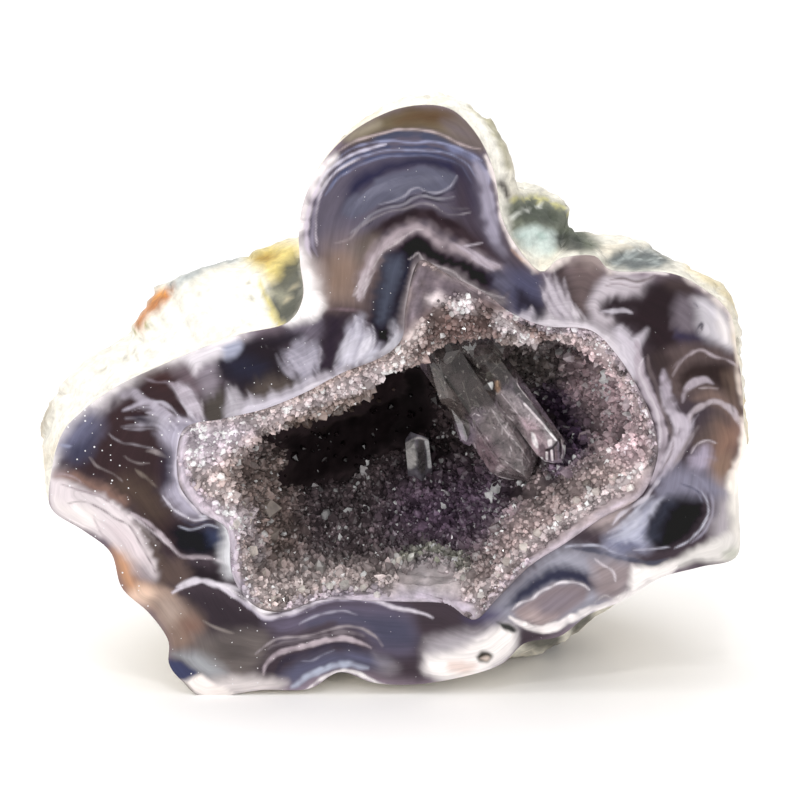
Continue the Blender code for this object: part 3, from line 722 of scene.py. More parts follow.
    ("f", "eae4e3", 0, 40, 0.9, "90 960, 170 990, 260 1000, 340 1060, 330 1130, 240 1110, 110 1020"),
    ("f", "cdc0c6", 0, 50, 0.8, "380 1110, 480 1120, 580 1220, 660 1340, 600 1330, 480 1240"),
    ("s", "a2949b", 7, 6, 0.85, "90 815, 150 812, 210 832, 250 860"),
    ("s", "8f8088", 7, 6, 0.9, "130 868, 200 898, 290 925, 362 946, 430 985"),
    ("s", "75696f", 8, 6, 0.9, "170 985, 230 976, 300 985, 370 1020, 450 1075, 540 1120, 600 1215, "
        "650 1310, 690 1400"),
    ("s", "a5989f", 8, 8, 0.8, "320 1060, 360 1150, 430 1240"),
    ("s", "b9adb4", 8, 8, 0.8, "430 1000, 520 1065, 600 1150, 650 1230"),
    ("s", "7c7478", 8, 8, 0.75, "62 850, 50 930, 70 1020, 120 1070, 220 1120, 330 1170"),
    ("f", "51443f", 0, 30, 0.95, "580 1100, 640 1150, 740 1270, 790 1400, 760 1440, 700 1340, 640 1220"),
    ("t", "b2a6b0", 30, 16, 0.95, "540 1035, 640 1095, 720 1165, 800 1250, 860 1300, 980 1310, "
        "1080 1330, 1160 1370"),
    ("s", "c9c1ca", 8, 8, 0.8, "560 1060, 660 1140, 760 1220, 840 1296"),
    ("f", "1f2027", 0, 40, 1, "780 1150, 860 1120, 960 1140, 1070 1140, 1100 1210, 1060 1290, 920 1290, "
        "840 1270"),
    ("f", "3c4564", 0, 50, 0.8, "1000 1150, 1080 1150, 1100 1220, 1040 1230"),
    ("s", "3e4054", 12, 10, 0.9, "860 1090, 930 1115, 980 1095, 1070 1090"),
    ("s", "c6c4d4", 12, 8, 0.95, "740 940, 800 1015, 860 1055, 930 1085, 1010 1072, 1080 1085"),
    ("s", "a7adc0", 9, 8, 0.9, "840 1125, 900 1142, 960 1130, 1010 1115, 1080 1135"),
    ("s", "c9cbd8", 14, 12, 0.9, "960 1060, 1040 1060, 1110 1100, 1130 1160"),
    ("f", "cfd3da", 0, 50, 1, "1090 1080, 1180 1090, 1200 1250, 1200 1420, 1110 1400, 1080 1300, "
        "1110 1200"),
    ("f", "2c272c", 0, 34, 1, "880 1340, 970 1365, 1050 1390, 1110 1450, 1060 1470, 960 1450, 890 1420"),
    ("f", "5b4c47", 0, 50, 0.9, "730 1340, 850 1320, 900 1400, 880 1470, 780 1490, 700 1480"),
    # Warm tan at the lower left edge: partly its own colour, partly painted light through the thin edge
    ("f", "c08e66", 0, 60, 0.95, "440 1265, 500 1290, 560 1350, 600 1440, 660 1500, 600 1540, 520 1500, "
        "460 1390"),
    ("f", "8a7f86", 0, 50, 0.8, "560 1340, 640 1360, 690 1440, 640 1470, 580 1430"),
    ("f", "e3c3ab", 0, 50, 0.95, "600 1480, 720 1500, 800 1568, 640 1600, 540 1540"),
    ("s", "cbc7d3", 30, 22, 0.95, "830 1490, 900 1455, 980 1450, 1080 1480, 1190 1500, 1260 1530"),
    (130, 480, 5.81),
    ("f", "3a333a", 0, 50, 1, "290 670, 400 640, 520 680, 650 750, 780 830, 700 900, 560 910, 420 850, "
        "320 760"),
    ("f", "8a7468", 0, 60, 1, "110 740, 170 660, 300 710, 420 820, 390 930, 330 990, 240 980, 190 860"),
    ("f", "a9968a", 0, 50, 0.9, "150 700, 230 680, 300 740, 260 820, 200 830"),
    ("f", "7b5a4e", 0, 50, 0.7, "300 820, 390 810, 400 880, 330 900"),
    ("f", "6d6664", 0, 60, 1, "380 900, 560 890, 760 880, 800 960, 740 1080, 640 1150, 480 1120, "
        "380 1040"),
    ("f", "4a4545", 0, 60, 0.7, "500 920, 640 940, 700 1020, 600 1050, 500 1000"),
    ("s", "8c8480", 12, 8, 0.85, "430 818, 500 858, 600 894"),
    ("f", "615a70", 0, 60, 1, "790 830, 1000 770, 1200 715, 1400 705, 1568 750, 1640 800, 1640 1000, "
        "1460 1000, 1300 850, 1100 850, 900 920"),
    ("f", "484a60", 0, 50, 0.9, "1030 820, 1200 780, 1400 780, 1568 800, 1640 860, 1640 960, 1480 960, "
        "1360 850, 1200 820, 1050 860"),
    ("s", "cdc8d6", 26, 16, 0.95, "250 655, 330 612, 410 590, 500 610, 620 680, 720 750, 790 800, "
        "900 782, 1020 745, 1100 702, 1240 682, 1400 690, 1530 742, 1640 760, 1760 800"),
    ("s", "8f89a0", 8, 6, 0.8, "620 690, 720 765, 790 815, 900 800, 1020 765, 1110 722, 1240 700, "
        "1400 708, 1520 752"),
    ("s", "e2dfe8", 12, 12, 0.9, "470 600, 600 645, 700 712, 780 770, 900 748, 1040 725"),
    ("f", "ece9ee", 0, 30, 0.8, "700 700, 780 720, 820 760, 760 770"),
    ("s", "a09fb2", 9, 8, 0.9, "980 842, 1060 800, 1140 772, 1240 764, 1320 782"),
    ("f", "4a4148", 0, 24, 0.9, "820 890, 960 882, 1080 850, 1190 826, 1180 850, 1060 890, 920 912"),
    ("s", "9c949a", 13, 8, 0.95, "730 1005, 800 955, 880 918, 1040 905, 1140 872, 1240 850, 1340 862, "
        "1420 905, 1470 965"),
    ("s", "7b737b", 26, 18, 0.8, "800 985, 900 945, 1040 925, 1160 895, 1260 880, 1360 905"),
    ("s", "4c444c", 14, 10, 0.85, "770 1030, 840 975, 940 945, 1060 930, 1160 905"),
    ("s", "b9acb6", 32, 14, 0.95, "775 1130, 790 1070, 850 1015, 940 980, 1040 962, 1140 930, 1240 920, "
        "1330 940, 1400 975"),
    ("s", "3b3644", 34, 20, 0.95, "850 1110, 900 1050, 980 1010, 1080 990, 1180 960, 1260 958, 1340 985"),
    ("f", "5b5d78", 0, 50, 1, "870 1140, 980 1060, 1100 1020, 1240 1000, 1380 1010, 1500 1060, "
        "1420 1090, 1200 1080, 1060 1130, 960 1200"),
    ("s", "9799ae", 10, 10, 0.8, "1000 1052, 1060 1048, 1120 1018, 1190 990"),
    ("s", "aeb9d0", 34, 26, 0.95, "940 1200, 1040 1140, 1160 1090, 1260 1075, 1380 1090"),
    ("s", "f0eef0", 20, 16, 1, "1020 1220, 1120 1150, 1220 1110, 1320 1120, 1450 1180, 1568 1215"),
    ("f", "9aa0a6", 0, 50, 0.9, "250 1010, 340 1000, 430 1020, 500 1070, 560 1120, 480 1150, 400 1130, "
        "340 1080"),
    ("s", "7e777a", 10, 8, 0.7, "500 1080, 560 1105, 620 1150"),
    ("f", "404668", 0, 16, 1, "215 1045, 300 1066, 372 1100, 384 1140, 330 1165, 240 1125"),
    ("f", "d3cdcd", 0, 40, 1, "430 1170, 540 1150, 640 1140, 780 1150, 900 1180, 800 1230, 600 1240, "
        "480 1260, 400 1210"),
    ("f", "ece6e2", 0, 18, 1, "300 1165, 400 1140, 480 1180, 560 1210, 600 1240, 560 1262, 440 1268, "
        "370 1230"),
    ("f", "7a7770", 0, 10, 0.9, "296 1160, 330 1180, 380 1240, 440 1268, 380 1270, 320 1230"),
    ("f", "8f8a93", 0, 40, 0.6, "1420 1010, 1500 1040, 1568 1090, 1500 1130, 1430 1090"),
    (480, 480, 5.6),
    ("f", "9698a8", 0, 70, 1, "20 740, 150 640, 300 500, 420 400, 520 385, 660 420, 780 450, 860 480, "
        "820 640, 680 700, 560 760, 400 800, 200 780, 80 790"),
    ("f", "4d4867", 0, 50, 0.9, "-60 720, 0 700, 60 720, 120 740, 90 790, 0 800, -80 790"),
    ("f", "34364a", 0, 34, 1, "140 715, 220 615, 320 535, 400 490, 500 485, 600 520, 660 590, 620 620, "
        "520 580, 420 580, 310 640, 200 710"),
    ("f", "7f7276", 0, 26, 1, "180 735, 280 665, 350 622, 430 585, 520 578, 598 604, 604 650, 540 700, "
        "480 745, 420 785, 350 815, 280 800, 220 772"),
    ("f", "857c89", 0, 60, 0.8, "300 720, 380 660, 480 620, 560 640, 500 700, 400 750"),
    ("f", "b7a5a4", 0, 50, 0.8, "220 760, 300 720, 360 770, 420 770, 340 812, 270 800"),
    ("s", "dbd8e0", 12, 8, 0.95, "180 728, 230 688, 290 662, 350 620, 400 600, 450 574, 530 570, "
        "580 586, 610 616"),
    ("f", "928588", 0, 50, 0.95, "620 450, 760 460, 868 470, 860 560, 800 650, 690 650, 640 570"),
    ("f", "85787b", 0, 40, 0.7, "640 560, 720 590, 760 640, 660 650"),
    ("s", "d6d0da", 10, 12, 0.8, "640 440, 700 480, 750 520, 760 570"),
    ("s", "eeeaea", 44, 18, 1, "170 770, 250 815, 340 838, 430 815, 520 770, 620 730, 720 700, 830 640, "
        "900 590, 1000 545, 1100 490"),
    ("f", "f0eeec", 0, 24, 1, "860 480, 1000 480, 1120 440, 1120 480, 1000 550, 900 590, 850 620, "
        "840 540"),
    ("s", "c7c3c4", 6, 8, 0.6, "640 690, 700 650, 760 670, 830 600"),
    ("s", "4b4d5e", 24, 12, 0.95, "520 385, 600 388, 680 402, 760 424, 850 444, 960 462, 1060 440"),
    ("s", "b3b8cc", 9, 8, 0.9, "480 378, 560 366, 640 368, 690 372, 740 402, 820 420"),
    ("f", "9499b4", 0, 60, 1, "700 380, 720 320, 800 260, 880 200, 940 140, 1010 100, 1060 60, 1000 160, "
        "950 260, 950 370, 860 390, 780 410"),
    ("p", "c2c6d8", 120, 9, 0.85, "720 350, 820 290, 900 210, 980 120, 1060 50"),
    ("p", "b2b8cf", 90, 9, 0.8, "730 300, 830 310, 900 330, 960 340"),
    ("f", "5a5e7c", 0, 40, 0.8, "740 350, 800 340, 880 360, 860 390, 780 395"),
    ("f", "211f23", 0, 34, 1, "948 360, 938 260, 980 170, 1060 80, 1130 48, 1200 60, 1252 110, 1252 190, "
        "1222 260, 1160 325, 1080 372, 1000 392"),
    ("f", "3c4152", 0, 50, 0.8, "930 330, 960 260, 1000 190, 1060 110, 1080 130, 1010 230, 990 330"),
    ("s", "b9bccd", 10, 7, 0.95, "1140 18, 1200 32, 1252 80, 1278 150, 1264 220, 1222 285, 1160 345, "
        "1090 384"),
    ("s", "6f7184", 9, 8, 0.9, "1060 62, 1130 26, 1180 40, 1222 74, 1240 120"),
    ("s", "8c8a9d", 16, 12, 0.9, "1180 -40, 1240 0, 1290 70, 1302 150, 1290 220, 1250 290, 1180 350"),
    ("s", "504e60", 22, 18, 0.9, "1290 -40, 1320 60, 1332 160, 1300 250"),
    ("s", "b0b2c4", 8, 7, 0.9, "860 392, 930 388, 1000 378, 1060 376"),
    ("f", "a89a9b", 0, 60, 0.9, "620 250, 660 190, 740 160, 820 150, 780 220, 700 270"),
    ("s", "c4c0ce", 18, 14, 0.9, "740 250, 800 184, 870 140, 930 100, 960 50, 1000 0, 1030 -60"),
    ("f", "a19ca4", 0, 50, 1, "1320 -20, 1400 0, 1410 300, 1340 340, 1300 280, 1340 100"),
    ("f", "dbd9d2", 0, 30, 1, "1400 -20, 1470 0, 1470 350, 1450 440, 1360 450, 1320 400, 1400 300, "
        "1390 100"),
    ("f", "d3d2cf", 0, 30, 1, "1110 450, 1180 400, 1280 350, 1400 300, 1430 400, 1320 460, 1230 450, "
        "1130 485"),
    ("f", "a8ada0", 0, 30, 0.8, "1360 400, 1440 380, 1440 440, 1380 445"),
    ("f", "b4b0b8", 0, 60, 0.9, "-300 900, -120 860, 0 845, 90 810, 150 800, 200 860, 130 1000, 0 1100, "
        "-150 1120, -300 1060"),
    ("f", "f3f0ee", 0, 36, 1, "-300 990, -160 960, -60 920, 20 880, 90 830, 150 815, 200 860, 190 930, "
        "130 1000, 0 1100, -150 1120, -300 1080"),
    ("f", "3c3a34", 0, 14, 1, "-20 985, 10 958, 50 962, 72 990, 40 1018, 0 1020"),
    ("f", "cdbdb0", 0, 10, 1, "0 1000, 30 985, 55 995, 30 1012"),
    ("f", "3d3f3e", 0, 12, 1, "90 790, 150 800, 200 835, 190 860, 140 845"),
    ("f", "d8b9ab", 0, 24, 0.6, "-180 1020, -100 1010, -20 1040, -80 1080, -170 1070"),
    (520, 240, 6.27),
    ("f", "cdc8d2", 0, 60, 1, "-40 470, 60 470, 240 460, 380 480, 480 540, 640 640, 720 800, 700 860, "
        "560 740, 380 600, 200 560, 0 570"),
    ("f", "4a4b66", 0, 70, 1, "-60 200, 0 190, 100 220, 140 260, 130 420, 60 460, -60 440"),
    ("f", "2a2630", 0, 40, 0.9, "-20 300, 40 330, 120 400, 160 470, 100 500, 40 440, -20 420"),
    ("p", "bdb8c6", 120, 9, 0.85, "30 520, 40 470, 40 400"),
    ("f", "77707c", 0, 40, 0.8, "130 290, 180 220, 230 190, 300 260, 300 400, 350 490, 280 500, 200 450, "
        "150 350"),
    ("t", "bdb7c4", 34, 20, 0.95, "150 215, 190 300, 245 400, 320 500"),
    ("t", "c3bdc9", 28, 18, 0.95, "215 190, 235 270, 280 370, 340 480"),
    ("t", "bdb7c4", 26, 18, 0.9, "290 240, 296 320, 320 400, 370 500"),
    ("t", "aea8b5", 26, 18, 0.85, "120 290, 170 380, 230 460, 300 530"),
    ("f", "3f3638", 0, 60, 1, "220 140, 300 150, 340 250, 380 340, 430 430, 410 500, 340 450, 300 340, "
        "250 290, 200 220"),
    ("f", "67595a", 0, 60, 1, "300 110, 400 70, 500 80, 535 150, 525 250, 450 330, 430 430, 370 420, "
        "320 300, 290 180"),
    ("f", "9c8d8a", 0, 50, 0.8, "360 90, 480 70, 530 120, 510 170, 420 150"),
    ("p", "b3adb9", 150, 10, 0.85, "280 500, 210 370, 200 260, 200 190"),
    ("p", "b8b2bd", 80, 8, 0.85, "330 500, 290 380, 270 270, 280 210"),
    ("p", "cfcad4", 70, 9, 0.8, "380 510, 350 440, 340 380"),
    ("s", "7c7072", 12, 10, 0.8, "330 565, 430 602, 560 700, 640 780, 740 880"),
    ("f", "bab3bd", 0, 40, 1, "430 420, 460 330, 500 260, 570 220, 660 210, 760 240, 830 220, 780 310, "
        "740 350, 640 350, 540 380, 500 450, 600 500, 560 540, 470 500"),
    ("s", "6d6366", 15, 12, 0.9, "560 255, 640 238, 720 262, 790 250, 850 225"),
    ("s", "8d8388", 10, 8, 0.8, "540 290, 620 275, 700 300, 780 285"),
    ("f", "2f272b", 0, 60, 1, "520 390, 600 365, 740 360, 820 280, 900 240, 1000 240, 1060 260, "
        "1090 330, 1000 420, 980 560, 1010 650, 920 720, 860 760, 800 660, 740 570, 620 520, 600 470, "
        "700 450, 600 440, 540 430"),
    ("t", "b5b1be", 34, 16, 0.95, "500 450, 580 445, 650 440, 700 455"),
    ("f", "4a3f3f", 0, 60, 0.8, "900 240, 1000 235, 1070 270, 1080 330, 1000 320, 920 290"),
    ("f", "b9b4c1", 0, 30, 1, "590 560, 640 540, 700 600, 740 600, 800 560, 760 640, 730 720, 740 840, "
        "690 860, 650 780, 610 660"),
    ("p", "d2ceda", 90, 9, 0.8, "680 840, 650 700, 620 560"),
    ("f", "706873", 0, 50, 0.95, "1000 350, 1080 370, 1100 480, 1090 570, 990 560, 960 450"),
    ("f", "2e2c48", 0, 40, 0.9, "980 570, 1060 590, 1160 600, 1220 660, 1100 650, 1000 640"),
    ("f", "c3c1cb", 0, 50, 1, "1090 370, 1180 385, 1260 440, 1320 540, 1340 660, 1300 695, 1200 640, "
        "1130 570, 1110 470"),
    ("f", "e2dedd", 0, 40, 0.8, "1240 450, 1310 540, 1330 650, 1280 640, 1240 560"),
    ("s", "5a5664", 14, 12, 0.9, "1085 395, 1120 425"),
    ("s", "45424f", 18, 12, 0.9, "1100 570, 1140 530, 1140 570"),
    ("f", "584b4b", 0, 50, 1, "860 740, 1000 650, 1160 650, 1300 700, 1400 800, 1400 1180, 1300 1100, "
        "1100 1000, 960 1000, 900 900"),
    ("f", "3b3233", 0, 50, 0.9, "820 700, 900 700, 960 760, 900 860, 860 880, 810 800"),
    ("f", "332a2a", 0, 40, 1, "1000 840, 1060 785, 1150 765, 1280 775, 1340 840, 1350 1000, 1280 960, "
        "1180 880, 1080 880, 1020 930"),
    ("f", "6c5a50", 0, 50, 0.8, "1280 840, 1350 840, 1370 1000, 1380 1120, 1310 1040"),
    ("s", "a79ca4", 18, 10, 0.95, "955 850, 985 800, 1040 735, 1100 700, 1150 690, 1220 732, 1300 750, "
        "1370 800"),
    ("s", "7c7177", 12, 10, 0.8, "960 800, 1020 740, 1090 690"),
    ("t", "a59ca8", 44, 24, 0.9, "1020 1010, 1050 930, 1100 885, 1160 872, 1210 900"),
    ("s", "a99fa4", 9, 8, 0.85, "1120 930, 1180 925, 1240 935"),
    ("f", "75615a", 0, 40, 0.9, "1080 1000, 1160 950, 1250 950, 1340 1050, 1390 1150, 1300 1100, "
        "1200 1010"),
    ("s", "aba1a9", 36, 20, 0.95, "1040 1180, 1080 1090, 1150 1035, 1220 1012, 1300 1042, 1350 1100, "
        "1400 1200"),
    ("f", "5a4d4b", 0, 50, 1, "1070 1270, 1140 1180, 1220 1080, 1290 1110, 1280 1280, 1200 1320, "
        "1110 1300"),
    ("f", "96735f", 0, 90, 0.8, "1260 1180, 1350 1170, 1400 1240, 1340 1300, 1280 1380, 1220 1350, "
        "1240 1250"),
    ("s", "c0b8c0", 9, 7, 0.95, "1070 1335, 1110 1288, 1180 1264, 1230 1275"),
    ("f", "a49cb3", 0, 40, 0.9, "1100 1330, 1180 1290, 1210 1390, 1160 1450, 1060 1430"),
    ("f", "8a705f", 0, 50, 0.9, "1200 1380, 1320 1340, 1310 1480, 1260 1540, 1200 1490"),
    ("s", "aba1ae", 60, 30, 1, "730 640, 735 740, 760 860, 820 980, 870 1090, 900 1200, 890 1310, "
        "860 1420, 820 1520"),
    ("s", "d0cad4", 14, 14, 0.8, "770 740, 750 820, 790 930, 850 1050, 880 1180, 875 1300"),
    ("s", "665b5e", 26, 16, 0.9, "800 720, 815 820, 860 940, 900 1060, 940 1180, 955 1260, 930 1360"),
    ("s", "a49cab", 74, 34, 1, "900 820, 920 960, 960 1070, 1010 1140, 1030 1190, 980 1280, 950 1360, "
        "900 1470"),
    ("p", "c1bac8", 110, 9, 0.8, "890 1480, 960 1330, 1000 1180, 930 1000, 890 850"),
    ("p", "b7b0bf", 90, 9, 0.8, "960 1330, 1040 1230, 1070 1120, 1120 1060"),
    ("s", "6b6064", 12, 10, 0.8, "960 1260, 940 1350, 900 1430, 870 1500"),
    ("s", "82787d", 24, 20, 0.8, "1120 1170, 1060 1250, 1010 1330, 960 1420"),
    ("f", "7d7d93", 0, 60, 0.9, "880 1500, 980 1420, 1100 1450, 1220 1500, 1260 1600, 1000 1600, "
        "860 1580"),
    ("s", "45465c", 12, 10, 0.8, "1010 1525, 1080 1550, 1140 1590"),
    # Pale and warm marks along the right and upper edges: partly the outer band, partly painted light
    # through the thin edge
    ("f", "f0e3c6", 0, 30, 1, "1330 560, 1420 600, 1440 700, 1400 790, 1360 720"),
    ("f", "ece7dc", 0, 30, 1, "1400 1190, 1460 1300, 1440 1390, 1330 1440, 1310 1568, 1420 1568, "
        "1390 1420, 1380 1290"),
    ("s", "a39693", 120, 110, 0.75, "560 200, 540 110, 460 60, 360 65, 260 115"),
    ("s", "efe6e0", 56, 60, 1, "560 200, 545 100, 460 50, 360 55, 260 105, 190 150, 100 175, 20 90"),
    ("s", "d9d3d4", 26, 24, 0.9, "580 200, 700 196, 820 196, 930 215"),
    ("s", "d8cfcb", 50, 50, 0.9, "1040 230, 1160 300, 1260 390, 1330 480, 1366 600"),
    ("s", "f0e9dd", 60, 44, 0.95, "1330 470, 1370 560, 1385 680, 1375 760"),
    ("s", "d6c9bd", 34, 34, 0.85, "1366 760, 1376 900, 1400 1040"),
    ("s", "ece3d9", 70, 56, 0.95, "1400 1120, 1440 1240, 1400 1360, 1360 1420, 1370 1560"),
    ("t", "3c3230", 14, 14, 0.6, "1290 860, 1310 960, 1340 1080"),
)

# The druse, with painted shade in the hollow's dark part and a painted shadow under the cluster
DRUSE_PAINT = (
    (0, 0, 1),
    ("f", "6a6062", 0, 40, 0.85, "300 490, 400 478, 480 480, 520 500, 490 560, 420 560, 340 560, "
        "290 540"),
    ("f", "67566a", 0, 30, 0.8, "400 485, 470 470, 520 490, 500 530, 430 545, 390 520"),
    ("f", "584860", 0, 16, 0.9, "524 384, 556 376, 572 385, 586 425, 592 454, 576 470, 550 482, 545 460, "
        "556 430"),
    # Painted shadow under the cluster's lower end
    ("f", "2e262b", 0, 8, 0.9, "488 486, 500 490, 530 490, 546 486, 560 478, 576 468, 592 462, 600 468, "
        "580 480, 556 492, 534 500, 510 506, 494 500"),
    ("f", "96887f", 0, 20, 0.85, "236 470, 285 450, 292 500, 300 560, 270 580, 242 540"),
    # Painted shade over the dark part of the hollow
    ("f", "140f10", 0, 8, 0.97, "255 437, 288 429, 328 417, 360 402, 378 384, 384 374, 424 366, 431 380, "
        "433 402, 437 420, 424 436, 405 446, 375 459, 356 473, 336 481, 288 489, 279 478, 288 460, "
        "272 445"),
    ("s", "d8cfca", 22, 14, 0.9, "185 440, 200 470, 225 500, 232 540, 240 580, 262 602"),
    ("s", "ddd5d3", 20, 12, 0.95, "186 436, 240 423, 290 411, 340 390, 392 368"),
    ("f", "686065", 0, 8, 1, "400 345, 404 305, 418 259, 446 272, 486 293, 512 311, 505 318, 478 306, "
        "452 300, 436 312, 420 330, 404 346"),
    ("s", "9a9196", 5, 5, 0.7, "412 330, 414 300, 420 268"),
    ("s", "69615f", 4, 5, 0.7, "424 318, 426 296, 424 272"),
    ("s", "948a8c", 5, 5, 0.7, "436 304, 438 288, 434 272"),
    ("s", "a79fa0", 5, 5, 0.7, "446 274, 470 286, 500 304"),
    ("s", "68605f", 4, 5, 0.6, "452 288, 474 296, 496 308"),
    ("s", "76695f", 18, 10, 0.9, "296 424, 350 405, 392 384"),
    ("f", "76645e", 0, 12, 1, "404 344, 420 322, 446 308, 486 310, 530 324, 560 330, 560 338, 520 342, "
        "480 346, 440 352, 412 360"),
    ("f", "8b7973", 0, 10, 0.8, "486 306, 512 314, 540 328, 520 330, 492 318"),
    ("f", "efe7e4", 0, 5, 0.95, "428 296, 440 293, 447 300, 440 306, 430 304"),
    ("f", "f3ecea", 0, 5, 0.95, "448 300, 466 298, 476 308, 468 316, 452 312"),
    ("f", "f3ecea", 0, 5, 0.95, "492 316, 504 314, 514 326, 526 330, 536 344, 520 348, 508 338, 494 328"),
    ("s", "f0e8e5", 12, 7, 0.95, "530 346, 545 350, 558 340, 580 336, 600 346, 620 364"),
    ("f", "96837f", 0, 8, 0.8, "546 338, 580 330, 592 336, 570 342"),
    ("f", "e6ddd6", 0, 6, 0.9, "396 352, 406 336, 418 324, 424 334, 416 346, 406 356"),
    ("f", "ded4cd", 0, 6, 0.85, "384 362, 396 356, 410 358, 400 370, 386 374"),
    ("f", "8f8982", 0, 12, 0.9, "440 350, 490 344, 540 350, 560 354, 568 370, 556 382, 530 386, 500 374, "
        "450 376"),
    ("f", "d2bfc0", 0, 16, 0.95, "560 352, 590 348, 620 370, 642 405, 656 450, 640 474, 604 458, "
        "592 424, 568 384"),
    ("s", "e3d8d5", 10, 12, 0.6, "622 368, 642 402, 655 440, 648 470"),
    ("f", "a0938f", 0, 16, 0.95, "604 470, 645 470, 640 500, 600 520, 560 545, 520 570, 490 602, "
        "475 592, 492 550, 512 515, 560 485"),
    ("s", "efe9e6", 10, 10, 0.7, "640 470, 604 496, 560 524, 520 554, 494 580, 474 604"),
    ("f", "f0eaf2", 0, 14, 0.75, "184 428, 214 424, 250 428, 244 440, 226 452, 206 466, 190 462, "
        "184 446"),
    ("s", "e4deea", 10, 8, 0.7, "184 440, 182 470, 200 500, 222 514, 232 530, 236 570, 240 596"),
    ("f", "efe8ea", 0, 6, 0.7, "216 508, 252 508, 258 520, 250 534, 232 530, 222 520"),
    ("f", "efe8ea", 0, 6, 0.6, "252 538, 262 536, 266 556, 256 564"),
    ("s", "a79e9e", 12, 8, 0.95, "652 474, 640 490, 602 511, 564 536, 530 560"),
    ("f", "b4b0ae", 0, 16, 0.85, "395 566, 420 556, 455 560, 466 582, 455 600, 400 602, 388 584"),
    ("s", "a9b29a", 8, 8, 0.6, "402 556, 425 548, 452 552, 466 566"),
    ("f", "c0b7b1", 0, 20, 0.85, "250 566, 330 562, 390 572, 390 600, 280 606, 250 592"),
    ("f", "bab6c2", 0, 10, 0.95, "330 594, 400 592, 440 594, 470 604, 474 622, 440 606, 340 604"),
    ("s", "8d8c8a", 3, 4, 0.6, "412 566, 413 584, 412 598"),
    ("s", "c9c7c6", 3, 4, 0.6, "424 562, 424 580, 425 596"),
    ("s", "8f8f8b", 3, 4, 0.5, "436 566, 437 584, 436 598"),
    ("s", "d4cfd8", 7, 6, 0.9, "183 432, 180 455, 180 478, 198 508, 226 528, 230 552, 233 574, 252 602"),
    ("s", "cdc6ce", 7, 6, 0.8, "284 610, 322 598, 368 599, 405 600, 446 602, 474 618, 498 596, 530 564, "
        "566 541, 602 516, 640 495"),
    ("s", "c9c1c9", 6, 6, 0.8, "640 495, 656 460, 652 425, 636 388, 616 357, 590 332, 545 328, 512 314"),
)

